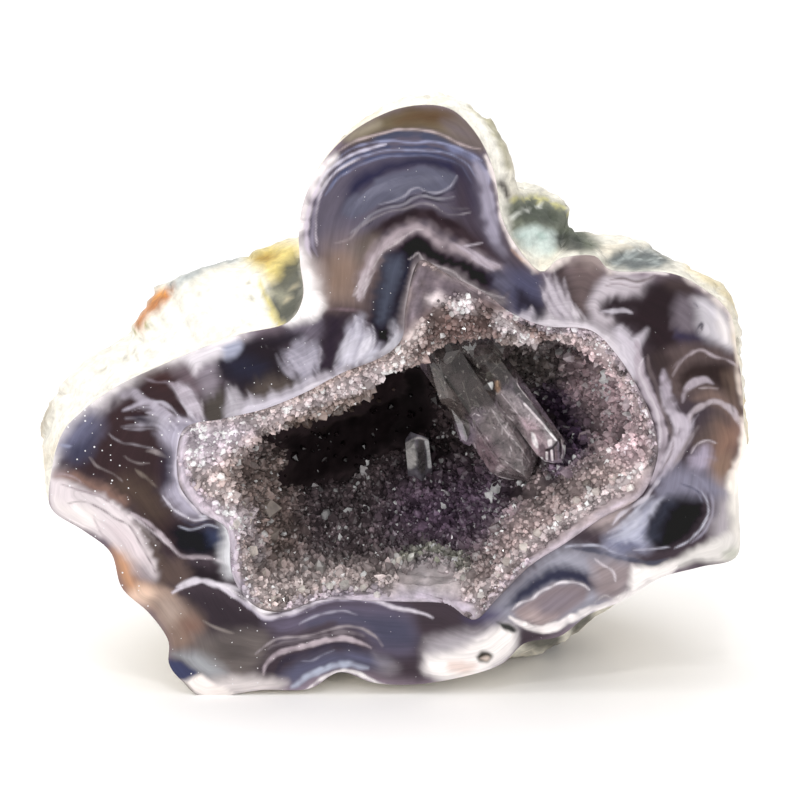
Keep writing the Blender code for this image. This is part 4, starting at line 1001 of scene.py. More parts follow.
# The rind behind the upper edges
RIND_PAINT = (
    (0, 0, 1),
    ("f", "f2efe6", 0, 20, 0.8, "60 380, 130 345, 200 300, 260 270, 280 320, 200 345, 120 385, 60 430"),
    ("s", "b4b9ba", 11, 8, 0.85, "172 286, 200 269, 230 258, 262 254"),
    ("s", "8d9494", 3, 3, 0.7, "182 280, 208 266, 236 259"),
    ("f", "d3bd60", 0, 8, 0.9, "246 260, 256 248, 274 243, 298 244, 300 262, 286 280, 272 286, 262 272"),
    ("f", "a07b25", 0, 4, 0.9, "252 257, 262 253, 276 255, 270 262, 258 262"),
    ("f", "3b3d31", 0, 6, 0.95, "284 262, 302 256, 306 290, 298 314, 286 326, 276 320, 268 304, 267 290, "
        "277 279"),
    ("f", "8c8a76", 0, 4, 0.8, "270 291, 283 287, 290 298, 280 304"),
    ("s", "b4a98c", 2.5, 2, 0.8, "286 300, 292 286, 301 276"),
    ("s", "d8c878", 5, 4, 0.85, "260 284, 268 302, 276 320, 288 328"),
    ("s", "7f7a66", 1.6, 1.5, 0.8, "226 302, 240 293, 262 286"),
    ("s", "7f7a66", 1.4, 1.5, 0.8, "230 310, 248 300, 266 294"),
    ("s", "a39b82", 1.4, 1.5, 0.7, "236 286, 252 281, 266 280"),
    ("f", "b9702a", 0, 4, 0.95, "150 297, 160 289, 173 288, 170 297, 160 308, 148 314, 139 331, 134 322, "
        "145 306"),
    ("s", "e7a14e", 3, 2, 0.8, "152 300, 162 294, 170 292"),
    ("s", "8f8741", 3, 2, 0.9, "134 332, 142 327, 151 322"),
    ("s", "7e6a45", 3, 3, 0.7, "40 440, 43 424, 50 404"),
    ("s", "b9b3a2", 2, 2, 0.7, "96 374, 120 360, 150 348"),
    ("f", "faf6ec", 0, 8, 0.95, "448 100, 470 100, 490 122, 502 150, 508 200, 512 236, 500 220, 494 172, "
        "476 134"),
    ("s", "8e8868", 8, 6, 0.8, "481 112, 492 122, 501 140, 508 166"),
    ("s", "b9b393", 5, 4, 0.8, "470 106, 484 116, 494 134"),
    ("f", "332b24", 0, 3, 0.95, "498 180, 508 183, 509 198, 501 194"),
    ("f", "5a6050", 0, 6, 0.95, "504 206, 518 196, 540 196, 562 205, 578 220, 592 236, 602 247, 586 252, "
        "570 242, 556 238, 540 242, 520 246, 509 228"),
    ("f", "3d4439", 0, 5, 0.8, "512 210, 530 202, 548 208, 560 220, 545 224, 524 220"),
    ("f", "cddbd6", 0, 5, 0.9, "512 234, 530 226, 550 230, 560 242, 550 256, 530 252"),
    ("f", "262c24", 0, 4, 0.9, "554 238, 564 231, 578 236, 586 248, 572 252, 560 250"),
    ("s", "d0ca86", 3, 3, 0.85, "514 199, 540 198, 564 209, 584 228"),
    ("s", "e6e8e0", 2, 2, 0.8, "508 224, 520 212, 540 207"),
    ("s", "9db4ac", 2, 2, 0.8, "518 238, 532 232, 546 238"),
    ("f", "50585a", 0, 6, 0.95, "604 262, 614 251, 636 247, 658 250, 672 262, 655 270, 635 272, 618 270"),
    ("s", "a9b0ae", 4, 4, 0.85, "614 263, 635 256, 657 262"),
    ("s", "c9ccc8", 2, 2, 0.8, "622 252, 645 250, 664 258"),
    ("s", "e0cd98", 9, 8, 0.7, "690 266, 715 283, 736 304, 750 332"),
    ("s", "8b7b52", 2, 2, 0.8, "746 322, 750 336"),
    ("s", "5f5a44", 2.5, 2, 0.8, "745 368, 750 378, 749 400"),
    ("s", "d8c28c", 7, 6, 0.7, "744 400, 750 430, 748 450"),
    ("f", "3a3932", 0, 4, 0.9, "518 634, 530 630, 550 628, 562 640, 545 650, 528 646"),
    ("f", "403e36", 0, 4, 0.9, "566 618, 590 610, 592 622, 574 634"),
    ("f", "4e4838", 0, 4, 0.9, "660 574, 690 561, 702 566, 694 574, 680 580"),
    ("f", "b98f6a", 0, 4, 0.8, "684 566, 698 562, 700 568, 690 573"),
)

# Stains all over the rind: colour, waves for each metre, threshold, cover and seed
RIND_STAINS = (
    ("cfc6ad", 120, 0.05, 0.8, 1.0),
    ("c9a86a", 90, 0.28, 0.75, 21.0),
    ("8d7c5c", 170, 0.34, 0.7, 41.0),
    ("4a4e3f", 75, 0.42, 0.85, 61.0),
    ("9aa09b", 110, 0.30, 0.6, 81.0),
)

# How far behind the cut the rind is painted as the photograph shows it, and how softly that ends
RIND_SEEN, RIND_FADES = 0.034, 0.006

# Where the druse is smooth quartz instead of points
SMOOTH_QUARTZ = (
    "419 259, 446 272, 486 293, 512 311, 505 318, 478 303, 452 296, 432 312, 416 330, 404 345, 400 338, "
    "404 305",
    "398 572, 425 562, 452 570, 462 586, 455 600, 400 600, 392 586",
    "330 597, 400 593, 440 596, 472 606, 476 622, 440 608, 330 606",
    "656 464, 642 499, 604 521, 567 546, 536 566, 530 558, 558 536, 592 511, 624 492, 642 472",
    "180 430, 178 480, 198 510, 226 530, 232 574, 240 590, 240 570, 233 530, 206 504, 186 476, 187 440",
)

# The dark, shaded part of the hollow and the shade under the cluster, where few crystals show: their share
# and the painted shade that the bed has in the dark part
VOID = (
    "255 437, 288 429, 328 417, 360 402, 378 384, 384 374, 424 366, 431 380, 433 402, 437 420, 424 436, "
    "405 446, 375 459, 356 473, 336 481, 288 489, 279 478, 288 460, 272 445"
)
UNDER_CLUSTER = "486 478, 500 484, 530 484, 544 478, 552 486, 546 494, 520 500, 498 496"
VOID_CRYSTALS, VOID_SHADE = 0.045, "2c2325"

# Where the bed is pressed back behind the cluster's lower end: pixel, radius in pixels and depth
DENTS = ((532, 488, 17, 0.0035), (556, 482, 13, 0.0030))

# The druse's cast, the height of its bed's lumps and the share of its crystals that are painted towards
# white as glints
DRUSE_CAST = (1.06, 1.0, 1.05)
LUMP_HEIGHT = 0.0007
GLINTS = 0.045

# Layers of small crystals: name, count, rows of the bed, widths, lengths and unevenness
DRUSE_LAYERS = (
    ("druse_rim", 8900, 0, RIM_ROWS + 4, (0.0004, 0.0010), (0.0008, 0.0014), 0.7),
    ("druse_walls", 8900, RIM_ROWS, RIM_ROWS + BED_ROWS + 6, (0.0004, 0.0010), (0.0009, 0.0017), 0.5),
    ("druse_floor", 8900, RIM_ROWS, RIM_ROWS + BED_ROWS + 6, (0.0003, 0.0008), (0.0009, 0.0015), 0.5),
    ("druse_points", 1500, RIM_ROWS, RIM_ROWS + BED_ROWS + 6, (0.0009, 0.0017), (0.0014, 0.0024), 0.5),
)

# Single larger points: pixel, width and length in pixels, colour
LARGE_POINTS = (
    (226, 480, 9, 20, "f2ebe8"), (236, 520, 13, 15, "e9e1dc"), (252, 515, 15, 18, "cfc5bd"),
    (270, 508, 20, 26, "93877f"), (275, 535, 20, 26, "857a73"), (256, 550, 13, 20, "dcd1c9"),
    (262, 566, 12, 16, "cbbfb6"), (246, 500, 12, 14, "b9ada5"), (285, 560, 14, 18, "8f857f"),
    (320, 568, 15, 28, "a29d9a"), (330, 584, 9, 18, "e4dfda"), (342, 580, 14, 22, "b5b0ac"),
    (357, 586, 8, 12, "f4efec"), (304, 585, 10, 16, "d5ccc5"), (290, 580, 12, 16, "bfb5ae"),
    (375, 592, 9, 14, "e9e3df"), (366, 585, 10, 14, "cfc8c2"), (272, 592, 10, 14, "d8cec7"),
    (395, 560, 7, 16, "c4c1bb"), (410, 556, 7, 20, "cdccc4"), (420, 552, 7, 16, "b7b8a9"),
    (438, 556, 8, 14, "bfc0ae"), (452, 560, 8, 14, "b5b3a6"), (462, 575, 9, 14, "a9a49f"),
    (480, 590, 9, 16, "e8e1dd"), (492, 575, 10, 14, "c9c0ba"), (505, 560, 10, 16, "bdb3ad"),
    (520, 545, 11, 15, "cfc5bf"), (540, 530, 12, 16, "c4b9b3"), (560, 515, 11, 15, "d6cdc8"),
    (575, 500, 10, 18, "b9aea9"), (595, 490, 10, 14, "c9beb9"), (624, 488, 9, 18, "efe8e4"),
    (610, 480, 11, 15, "b7aca7"), (585, 480, 10, 14, "8f8580"), (381, 520, 7, 8, "f6f1ee"),
    (450, 466, 5, 9, "d8d0d2"), (397, 476, 5, 8, "d2cacb"), (382, 490, 5, 8, "efe8e6"),
    (640, 410, 9, 12, "cdbab9"), (622, 380, 10, 12, "d4c3c1"), (606, 400, 10, 12, "a99796"),
    (575, 356, 12, 14, "b39f9d"), (592, 366, 11, 14, "c5b1ae"), (330, 540, 9, 14, "7f7773"),
    (352, 548, 8, 12, "8c8480"), (430, 520, 7, 12, "7a6f7c"), (468, 505, 8, 14, "8a7f8b"),
    (445, 530, 7, 12, "867b85"), (410, 500, 7, 10, "6f6572"), (345, 500, 7, 10, "6d6563"),
)


# The stone


def wander(pixels, amount, size, seed):
    """Pixels moved a little by smooth noise, so that painted edges aren't even."""
    cells = np.concatenate([pixels / size, np.zeros((len(pixels), 1))], axis=1)
    shift = [waves(cells, 1.0, 2, seed + 9.1 * axis) for axis in (0, 1)]
    return pixels + amount * np.stack(shift, axis=1)


def pixel_loop(pixels):
    return curve([*pixels, pixels[0]], 2)


def through_wall(pixels):
    """How far through the agate wall points are: 0 at the rind, 1 at the druse."""
    outer = np.abs(to_line(pixels, pixel_loop(OUTER_EDGE))[0])
    inner = np.abs(to_line(pixels, pixel_loop(AGATE_EDGE))[0])
    return outer / (outer + inner)


def feathered(pixels, share):
    """Pixels moved to and fro across the wall in thin streaks, where the photograph shows plumes."""
    steps = [through_wall(pixels + step) - share for step in ((1.5, 0), (0, 1.5))]
    across = np.stack(steps, axis=1)
    across /= np.maximum(np.linalg.norm(across, axis=1), 1e-6)[:, None]
    streaks = np.zeros(len(pixels))
    for reach in np.linspace(-9, 9, 7):
        cells = np.concatenate([(pixels + across * reach) / 6.0, np.zeros((len(pixels), 1))], axis=1)
        streaks += waves(cells, 1.0, 2, 14.0) / 7
    x, y = pixels.T
    calm = np.maximum(ease((262 - y) / 30) * ease((x - 280) / 20), ease((y - 560) / 50))
    calm = np.maximum(calm, ease((0.45 - share) / 0.3))
    return pixels + across * (7 * streaks * (1 - 0.85 * calm))[:, None]


def paint_face(pixels):
    """Colours of the cut face, and places in its wall that the fine bands follow."""
    share = through_wall(pixels)
    moved = wander(feathered(pixels, share), 2.0, 14, 2.0)
    painting = Painting(moved, "cut", wander(pixels, 1.2, 24, 2.0), FINEST_PX)
    painting.paint(FACE_PAINT)
    slow = wander(pixels, 12, 60, 6.0) / 90
    flow = np.stack([share * 16, slow[:, 0], slow[:, 1]], 1)
    grey = painting.tint.mean(axis=1, keepdims=True)
    muted = grey + (painting.tint - grey) * SATURATION
    return np.clip(muted * CUT_CAST - SHEEN, 0.001, 1), flow


def paint_rind(points, pixels):
    """Colours of the rind: cream, with ochre, brown and dark green stains."""
    painting = Painting(wander(pixels, 2.5, 9, 12.0), "rind")
    for colour, frequency, threshold, cover, seed in RIND_STAINS:
        painting.lay(colour, cover * ease((waves(points, frequency, 3, seed) - threshold) / 0.22))
    seen = ease((RIND_SEEN - points[:, 1]) / RIND_FADES)
    stained = painting.tint.copy()
    painting.lay("efeadd", 0.75 * seen)
    painting.paint(RIND_PAINT)
    painting.tint = stained + (painting.tint - stained) * seen[:, None]
    speckle = waves(points, 1300, 2, 30.0)
    return painting.tint * np.clip(1 + 0.22 * speckle, 0.5, 1.3)[:, None]


def face_mesh(outline, contact):
    """Points and triangles of the cut face between two outlines; the outlines' points come first."""
    low, high = outline.min(axis=0), outline.max(axis=0)
    across, up = np.meshgrid(
        np.arange(low[0], high[0], FACE_STEP), np.arange(low[1], high[1], FACE_STEP * 0.866)
    )
    across[1::2] += FACE_STEP / 2
    grid = np.stack([across.ravel(), up.ravel()], axis=1)
    grid = grid[inside(grid, outline) & ~inside(grid, contact)]
    edges = np.vstack([resample(loop, len(loop) * 3) for loop in (outline, contact)])
    cell = FACE_STEP * 0.6
    taken = {tuple(place) for place in np.round(edges / cell).astype(int).tolist()}
    keep = [tuple(place) not in taken for place in np.round(grid / cell).astype(int).tolist()]
    grid = grid[np.array(keep)]
    n, m = len(outline), len(contact)
    flat = np.vstack([outline, contact, grid])
    rims = [(i, (i + 1) % n) for i in range(n)] + [(n + i, n + (i + 1) % m) for i in range(m)]
    points, _, faces, origin, *_ = delaunay_2d_cdt(
        [Vector(point) for point in flat * 1000], rims, [], 1, 1e-6, True
    )
    source = [ids[0] for ids in origin]
    points = flat[source]
    place = {old: new for new, old in enumerate(source)}
    middles = np.array([points[list(face)].mean(axis=0) for face in faces])
    kept = inside(middles, outline) & ~inside(middles, contact)
    faces = [tuple(face) for face, stays in zip(faces, kept) if stays]
    return points, faces, [place[i] for i in range(n)], [place[n + i] for i in range(m)]


class Loft:
    """A surface that grows ring by ring from the points and faces that it starts with."""

    def __init__(self, points, faces):
        self.points, self.faces, self.count = [points], list(faces), len(points)

    def add(self, points):
        """Adds points and returns their numbers."""
        self.points.append(points)
        self.count += len(points)
        return list(range(self.count - len(points), self.count))

    def ring(self, last, section, inwards=False):
        """Joins a ring of new points to the last ring and returns the new ring."""
        fresh = self.add(section)
        for a, b, c, d in zip(last, fresh, fresh[1:] + fresh[:1], last[1:] + last[:1]):
            self.faces.append((d, c, b, a) if inwards else (a, b, c, d))
        return fresh

    def tip(self, last, point, inwards=False):
        """Closes the last ring at a point."""
        (tip,) = self.add([point])
        for a, b in zip(last, last[1:] + last[:1]):
            self.faces.append((b, tip, a) if inwards else (a, tip, b))


def knobbles(points):
    return KNOBBLE_HEIGHT * np.abs(waves(points, KNOBBLE_WAVES, 2, 75.0))


def fine_relief(points):
    """Heights of the rind's grain, creases and knobbles."""
    grain = GRAIN_HEIGHT * waves(points, GRAIN_WAVES, 3, 5.0)
    inside_crease = np.clip(CREASE_WIDTH - np.abs(waves(points, CREASE_WAVES, 2, 45.0)), 0, 1)
    crease = -CREASE_DEPTH * inside_crease / CREASE_WIDTH
    return grain + crease + knobbles(points) - RELIEF_SINKS


def make_stone(agate, rind):
    """The stone in one closed piece: its cut face, its rind and the wall behind the druse."""
    outline = smooth_loop(OUTER_EDGE, STONE_POINTS)
    contact = smooth_loop(AGATE_EDGE, CONTACT_POINTS)
    cut, cut_faces, ring, inner_rim = face_mesh(outline, contact)
    loft = Loft(np.stack([cut[:, 0], np.zeros(len(cut)), cut[:, 1]], axis=1), cut_faces)
    middle = on_face(BODY_MIDDLE_PX)
    depths = BODY_DEPTH * 0.998 * np.sin(math.pi / 2 * np.linspace(0, 1, STONE_RINGS + 1)[1:] ** 1.3)
    for depth in depths:
        section = body_section(outline, middle, depth)
        out = section - np.array([middle[0], depth, middle[1]])
        out /= np.linalg.norm(out, axis=1)[:, None]
        section += out * (fine_relief(section) * ease(depth / RELIEF_STARTS))[:, None]
        ring = loft.ring(ring, section)
    centre = np.array([middle[0], BODY_DEPTH, middle[1]])
    for share in np.linspace(0.94, 0.05, CAP_RINGS):
        cap = centre + (section - centre) * share
        cap[:, 1] -= knobbles(cap)
        ring = loft.ring(ring, cap)
    loft.tip(ring, centre)
    rind_ends = len(loft.faces)
    hollow = on_face(HOLLOW_MIDDLE_PX)
    deepest = HOLLOW_DEPTH + CRUST_BACK
    ring = inner_rim
    for share in HOLLOW_RINGS:
        wall = hollow_section(contact, hollow, share * deepest, deepest, 1)
        ring = loft.ring(ring, wall, inwards=True)
    loft.tip(ring, (hollow[0], deepest, hollow[1]), inwards=True)
    points = np.vstack([np.asarray(part) for part in loft.points])
    points[:, 2] = np.maximum(points[:, 2], 0)
    points = np.clip(points, np.array(shell_low) - TO_FRAME, np.array(shell_high) - TO_FRAME)
    pixels = seen_at(points)
    tint = paint_rind(points, pixels)
    flow = np.zeros((len(points), 3))
    tint[: len(cut)], flow[: len(cut)] = paint_face(pixels[: len(cut)])
    slots = np.zeros(len(loft.faces), np.int32)
    slots[len(cut_faces) : rind_ends] = 1
    stone = add_mesh("agate_stone", points, loft.faces, (agate, rind), tint, slots, flow)
    stone.data.polygons.foreach_set("use_smooth", np.arange(len(loft.faces)) >= len(cut_faces))
    return stone


# The druse


def bed_rows():
    """Rows of points over the druse's bed: across the cut, then down into the hollow."""
    middle = on_face(HOLLOW_MIDDLE_PX)
    inner = smooth_loop(HOLLOW_EDGE, BED_POINTS)
    outer = starting_near(smooth_loop(AGATE_EDGE, BED_POINTS), inner[0])
    rows = []
    for share in np.linspace(0, 1, RIM_ROWS, endpoint=False):
        flat = outer + (inner - outer) * share
        depth = RIM_GAP + RIM_DROP * ease(share / 0.10) + RIM_SLOPE * share**1.3
        rows.append(np.stack([flat[:, 0], np.full(BED_POINTS, depth), flat[:, 1]], 1))
    for share in np.linspace(0, 1, BED_ROWS):
        depth = EDGE_DEPTH + (HOLLOW_DEPTH - BED_SHORT) * math.sin(math.radians(86) * share) ** 1.15
        section = hollow_section(inner, middle, max(0.0, depth - EDGE_DEPTH), HOLLOW_DEPTH * 1.01, 0)
        section[:, 1] = depth
        rows.append(section)
    last = rows[-1]
    centre = last.mean(axis=0)
    for share in (0.86, 0.72, 0.58, 0.44, 0.3, 0.16, 0.03):
        rows.append(centre + (last - centre) * share)
    return np.array(rows)


def bed_normals(rows):
    """Which way the bed faces at each of its points."""
    round_way = np.roll(rows, -1, axis=1) - np.roll(rows, 1, axis=1)
    down_way = np.gradient(rows, axis=0)
    normal = np.cross(round_way, down_way)
    normal /= np.maximum(np.linalg.norm(normal, axis=2), 1e-12)[..., None]
    middle = on_face(HOLLOW_MIDDLE_PX)
    inwards = np.array([middle[0], -0.02, middle[1]]) - rows
    normal *= np.sign(np.sum(normal * inwards, axis=2))[..., None]
    flat = ease((RIM_ROWS + 4 - np.arange(len(rows))) / 8)[:, None, None]
    normal = normal * (1 - flat) + np.array([0, -1.0, 0]) * flat
    return normal / np.linalg.norm(normal, axis=2)[..., None]


def crystals(bases, axes, widths, lengths, turns):
    """Six-sided crystals with uneven points, as points and faces of one mesh."""
    count = len(bases)
    axes = axes / np.linalg.norm(axes, axis=1)[:, None]
    helper = np.where(np.abs(axes[:, 2:]) < 0.8, [[0, 0, 1.0]], [[1.0, 0, 0]])
    side = np.cross(axes, helper)
    side /= np.linalg.norm(side, axis=1)[:, None]
    other = np.cross(axes, side)
    angles = turns[:, None] + np.arange(6) * math.pi / 3
    radii = widths[:, None] / 2 * rng.uniform(0.82, 1.18, (count, 6))
    around = (
        side[:, None] * (np.cos(angles) * radii)[..., None]
        + other[:, None] * (np.sin(angles) * radii)[..., None]
    )
    shoulder = lengths[:, None] - widths[:, None] * rng.uniform(0.35, 0.75, (count, 6))
    bottom = bases[:, None] + around
    top = bases[:, None] + around * 0.94 + axes[:, None] * shoulder[..., None]
    lean = rng.uniform(-0.2, 0.2, (count, 2)) * widths[:, None]
    tip = bases + axes * lengths[:, None] + side * lean[:, :1] + other * lean[:, 1:]
    points = np.concatenate([bottom, top, tip[:, None]], axis=1).reshape(-1, 3)
    faces = []
    for i in range(count):
        b = 13 * i
        for k in range(6):
            n = (k + 1) % 6
            faces.append((b + k, b + n, b + 6 + n, b + 6 + k))
            faces.append((b + 6 + k, b + 6 + n, b + 12))
        faces.append(tuple(b + k for k in range(5, -1, -1)))
    return points, faces


def paint_druse(places, pixels):
    """Colours of the druse: pale at the rim, with painted shade that darkens it deeper in the hollow."""
    painting = Painting(wander(pixels, 5, 16, 4.0), "druse")
    # Painted shade: darker the deeper a point lies behind the cut
    painting.lay("332a2e", 0.9 * ease((places[:, 1] - 0.002) / 0.011))
    painting.paint(DRUSE_PAINT)
    clumps = 0.62 * waves(places, 400, 2, 51.0) + 0.3 * waves(places, 1100, 1, 61.0)
    clumps *= np.where(on_smooth_quartz(pixels), 0.15, 1.0)
    return painting.tint * DRUSE_CAST * np.clip(1 + clumps, 0.3, 1.8)[:, None]


def on_smooth_quartz(pixels):
    smooth = np.zeros(len(pixels), bool)
    for text in SMOOTH_QUARTZ:
        smooth |= inside(pixels, closed_curve(text))
    return smooth


def scatter(rows, normals, count, first, last):
    """Places spread evenly over rows first to last of the bed: points and the way they face."""
    cells = np.linalg.norm(
        np.cross(rows[1:, :] - rows[:-1, :], np.roll(rows, -1, axis=1)[:-1] - rows[:-1]), axis=2
    )
    cells[:first] = 0
    cells[last:] = 0
    chosen = rng.choice(cells.size, count, p=cells.ravel() / cells.sum())
    row, column = np.divmod(chosen, cells.shape[1])
    beside = (column + 1) % rows.shape[1]
    down, over = rng.random((2, count, 1))
    place = (rows[row, column] * (1 - over) + rows[row, beside] * over) * (1 - down) + (
        rows[row + 1, column] * (1 - over) + rows[row + 1, beside] * over
    ) * down
    return place, normals[row, column]


def make_bed(material, rows, normals, rough):
    """The closed bed that the small crystals grow from, darkened as painted shade between them and in the
    hollow's dark part; rough is 0 where it is plain.
    """
    bumps = rough * waves(rows.reshape(-1, 3), 900, 2, 3.0).reshape(rows.shape[:2])
    front = rows - normals * (BED_SKIN * (1 + bumps))[..., None]
    front[0] = rows[0]
    front[:, :, 1] = np.maximum(front[:, :, 1], rows[:, :, 1] * 0.9)
    middle = on_face(HOLLOW_MIDDLE_PX)
    deepest = HOLLOW_DEPTH + CRUST_BACK - GAP
    start = smooth_loop(HOLLOW_EDGE, BED_POINTS)[0]
    contact = starting_near(inset(smooth_loop(AGATE_EDGE, BED_POINTS), GAP * 0.3), start)
    back = [hollow_section(contact, middle, s * deepest, deepest, 1) for s in reversed(HOLLOW_RINGS)]
    rings = np.array([*back, *front])
    ends = [[middle[0], deepest, middle[1]], front[-1].mean(axis=0)]
    count, n = len(rings), BED_POINTS
    faces = [
        (r * n + i, r * n + (i + 1) % n, (r + 1) * n + (i + 1) % n, (r + 1) * n + i)
        for r in range(count - 1)
        for i in range(n)
    ]
    faces += [((i + 1) % n, i, count * n) for i in range(n)]
    last = (count - 1) * n
    faces += [(last + i, last + (i + 1) % n, count * n + 1) for i in range(n)]
    points = np.vstack([rings.reshape(-1, 3), ends])
    pixels = seen_at(points)
    tint = paint_druse(points, pixels)
    in_void = np.concatenate([np.zeros(len(back) * n), 1 - rough.ravel(), (0, 0)]) > 0.5
    plain = on_smooth_quartz(pixels) | in_void
    # Painted shade: where crystals cover the bed it is darkened, so that the gaps between them look shaded
    tint *= np.where(plain, 1.0, 0.45)[:, None]
    # The bed in the hollow's dark part takes painted shade
    tint[in_void] = np.minimum(tint[in_void], shade(VOID_SHADE))
    bed = add_mesh("druse_bed", points, faces, (material,), tint)
    bed.data.polygons.foreach_set("use_smooth", np.ones(len(faces), bool))
    return bed


def grow(name, material, place, facing, width, length, lean, tint):
    """One piece of many small crystals at places on the bed; tint has a colour for each."""
    count = len(place)
    axes = facing + rng.normal(0, 1, (count, 3)) * lean
    base = place - facing * (0.0007 + width[:, None] * 0.3)
    points, faces = crystals(base, axes, width, length, rng.random(count) * 2 * math.pi)
    points[:, 1] = np.maximum(points[:, 1], 0.00005)
    return add_mesh(name, points, faces, (material,), np.repeat(np.clip(tint, 0, 0.95), 13, axis=0))


def make_druse(material, bed_material):
    """The bed, the layers of small crystals on it and the single larger points, as pieces."""
    rows = bed_rows()
    normals = bed_normals(rows)
    lumps = waves(rows.reshape(-1, 3), 330, 2, 33.0).reshape(rows.shape[:2])
    deep = ease((np.arange(len(rows)) - 5) / 14)[:, None]
    void, under = closed_curve(VOID), closed_curve(UNDER_CLUSTER)
    pixels = seen_at(rows.reshape(-1, 3))
    rough = (~inside(pixels, void)).astype(float).reshape(rows.shape[:2])
    rows = rows + normals * (LUMP_HEIGHT * lumps * deep * rough)[..., None]
    for x, y, radius, depth in DENTS:
        away = np.hypot(pixels[:, 0] - x, pixels[:, 1] - y).reshape(rows.shape[:2])
        rows[..., 1] += depth * np.exp(-((away / radius) ** 2))
    pieces = [make_bed(bed_material, rows, normals, rough)]
    for name, count, first, last, widths, lengths, lean in DRUSE_LAYERS:
        place, facing = scatter(rows, normals, count, first, last)
        pixels = seen_at(place)
        few = inside(pixels, void) | inside(pixels, under)
        kept = ~on_smooth_quartz(pixels) & (~few | (rng.random(count) < VOID_CRYSTALS))
        place, facing, pixels, count = place[kept], facing[kept], pixels[kept], int(kept.sum())
        size = rng.random(count) ** 2.2
        width = widths[0] + (widths[1] - widths[0]) * size
        length = lengths[0] + (lengths[1] - lengths[0]) * size * rng.uniform(0.7, 1.2, count)
        tint = paint_druse(place, pixels) * (0.5 + 1.1 * rng.random(count) ** 1.5)[:, None]
        # Painted glints: a few crystals have their colour lifted towards white
        bright = (rng.random(count) < GLINTS)[:, None]
        tint = np.where(bright, tint + (0.9 - tint) * rng.uniform(0.3, 0.9, (count, 1)), tint)
        pieces.append(grow(name, material, place, facing, width, length, lean, tint))
    bed, facing = rows.reshape(-1, 3), normals.reshape(-1, 3)
    pixels = seen_at(bed)
    chosen, sizes, shades = [], [], []
    for x, y, wide, high, colour in LARGE_POINTS:
        away = np.hypot(pixels[:, 0] - x, pixels[:, 1] - y)
        close = np.nonzero(away < max(away.min() + 1.0, 4.0))[0]
        chosen.append(close[np.argmin(bed[close, 1])])
        sizes.append((wide, high))
        shades.append(shade(colour))
    width, length = np.array(sizes).T * SCALE
    upright = facing[chosen] + (0, -0.2, 0.5)
    shades = np.array(shades)
    pieces.append(grow("druse_large", material, bed[chosen], upright, width, length, 0.25, shades))
    return pieces


# The large clear crystals

# Slope of quartz's end faces in degrees, the narrowing of its sides, and the block that a crystal is
# cut from: its width and how much longer than the crystal it is
END_SLOPE, SIDE_TAPER = 51.8, 0.012
BLOCK_WIDTH, BLOCK_SPARE = 0.03, 0.01


def cut_crystal(name, root, point, sides, ends, turn):
    """A quartz crystal cut from a block by its faces: six sides and six end faces at their distances
    in millimetres."""
    root, point = Vector(root) / 1000, Vector(point) / 1000
    axis = (point - root).normalized()
    length = (point - root).length
    tall = length + BLOCK_SPARE
    mesh = bmesh.new()
    bmesh.ops.create_cube(mesh, size=1.0)
    block = Matrix.Diagonal((BLOCK_WIDTH, BLOCK_WIDTH, tall, 1))
    bmesh.ops.transform(mesh, matrix=block, verts=mesh.verts)
    bmesh.ops.translate(mesh, vec=(0, 0, tall / 2), verts=mesh.verts)
    planes = []
    for i, distance in enumerate(sides):
        a = math.pi / 3 * i
        out = Vector((math.cos(a), math.sin(a), SIDE_TAPER))
        planes.append((out * distance / 1000, out))
    for i, distance in enumerate(ends):
        a = math.pi / 3 * i
        slope = math.radians(END_SLOPE)
        out = Vector((math.cos(a) * math.sin(slope), math.sin(a) * math.sin(slope), math.cos(slope)))
        planes.append((Vector((0, 0, length)) - out * distance / 1000, out))
    for place, out in planes:
        whole = mesh.verts[:] + mesh.edges[:] + mesh.faces[:]
        cut = bmesh.ops.bisect_plane(mesh, geom=whole, plane_co=place, plane_no=out, clear_outer=True)
        border = [e for e in cut["geom_cut"] if isinstance(e, bmesh.types.BMEdge)]
        if border:
            bmesh.ops.edgeloop_fill(mesh, edges=border)
    bmesh.ops.remove_doubles(mesh, verts=mesh.verts, dist=1e-6)
    upright = axis.to_track_quat("Z", "Y").to_matrix().to_4x4()
    turned = Matrix.Rotation(math.radians(turn), 4, "Z")
    place = Matrix.Translation(root + Vector(TO_FRAME)) @ upright @ turned
    bmesh.ops.transform(mesh, matrix=place, verts=mesh.verts)
    bmesh.ops.recalc_face_normals(mesh, faces=mesh.faces)
    data = bpy.data.meshes.new(name)
    mesh.to_mesh(data)
    mesh.free()
    return add_object(name, data)


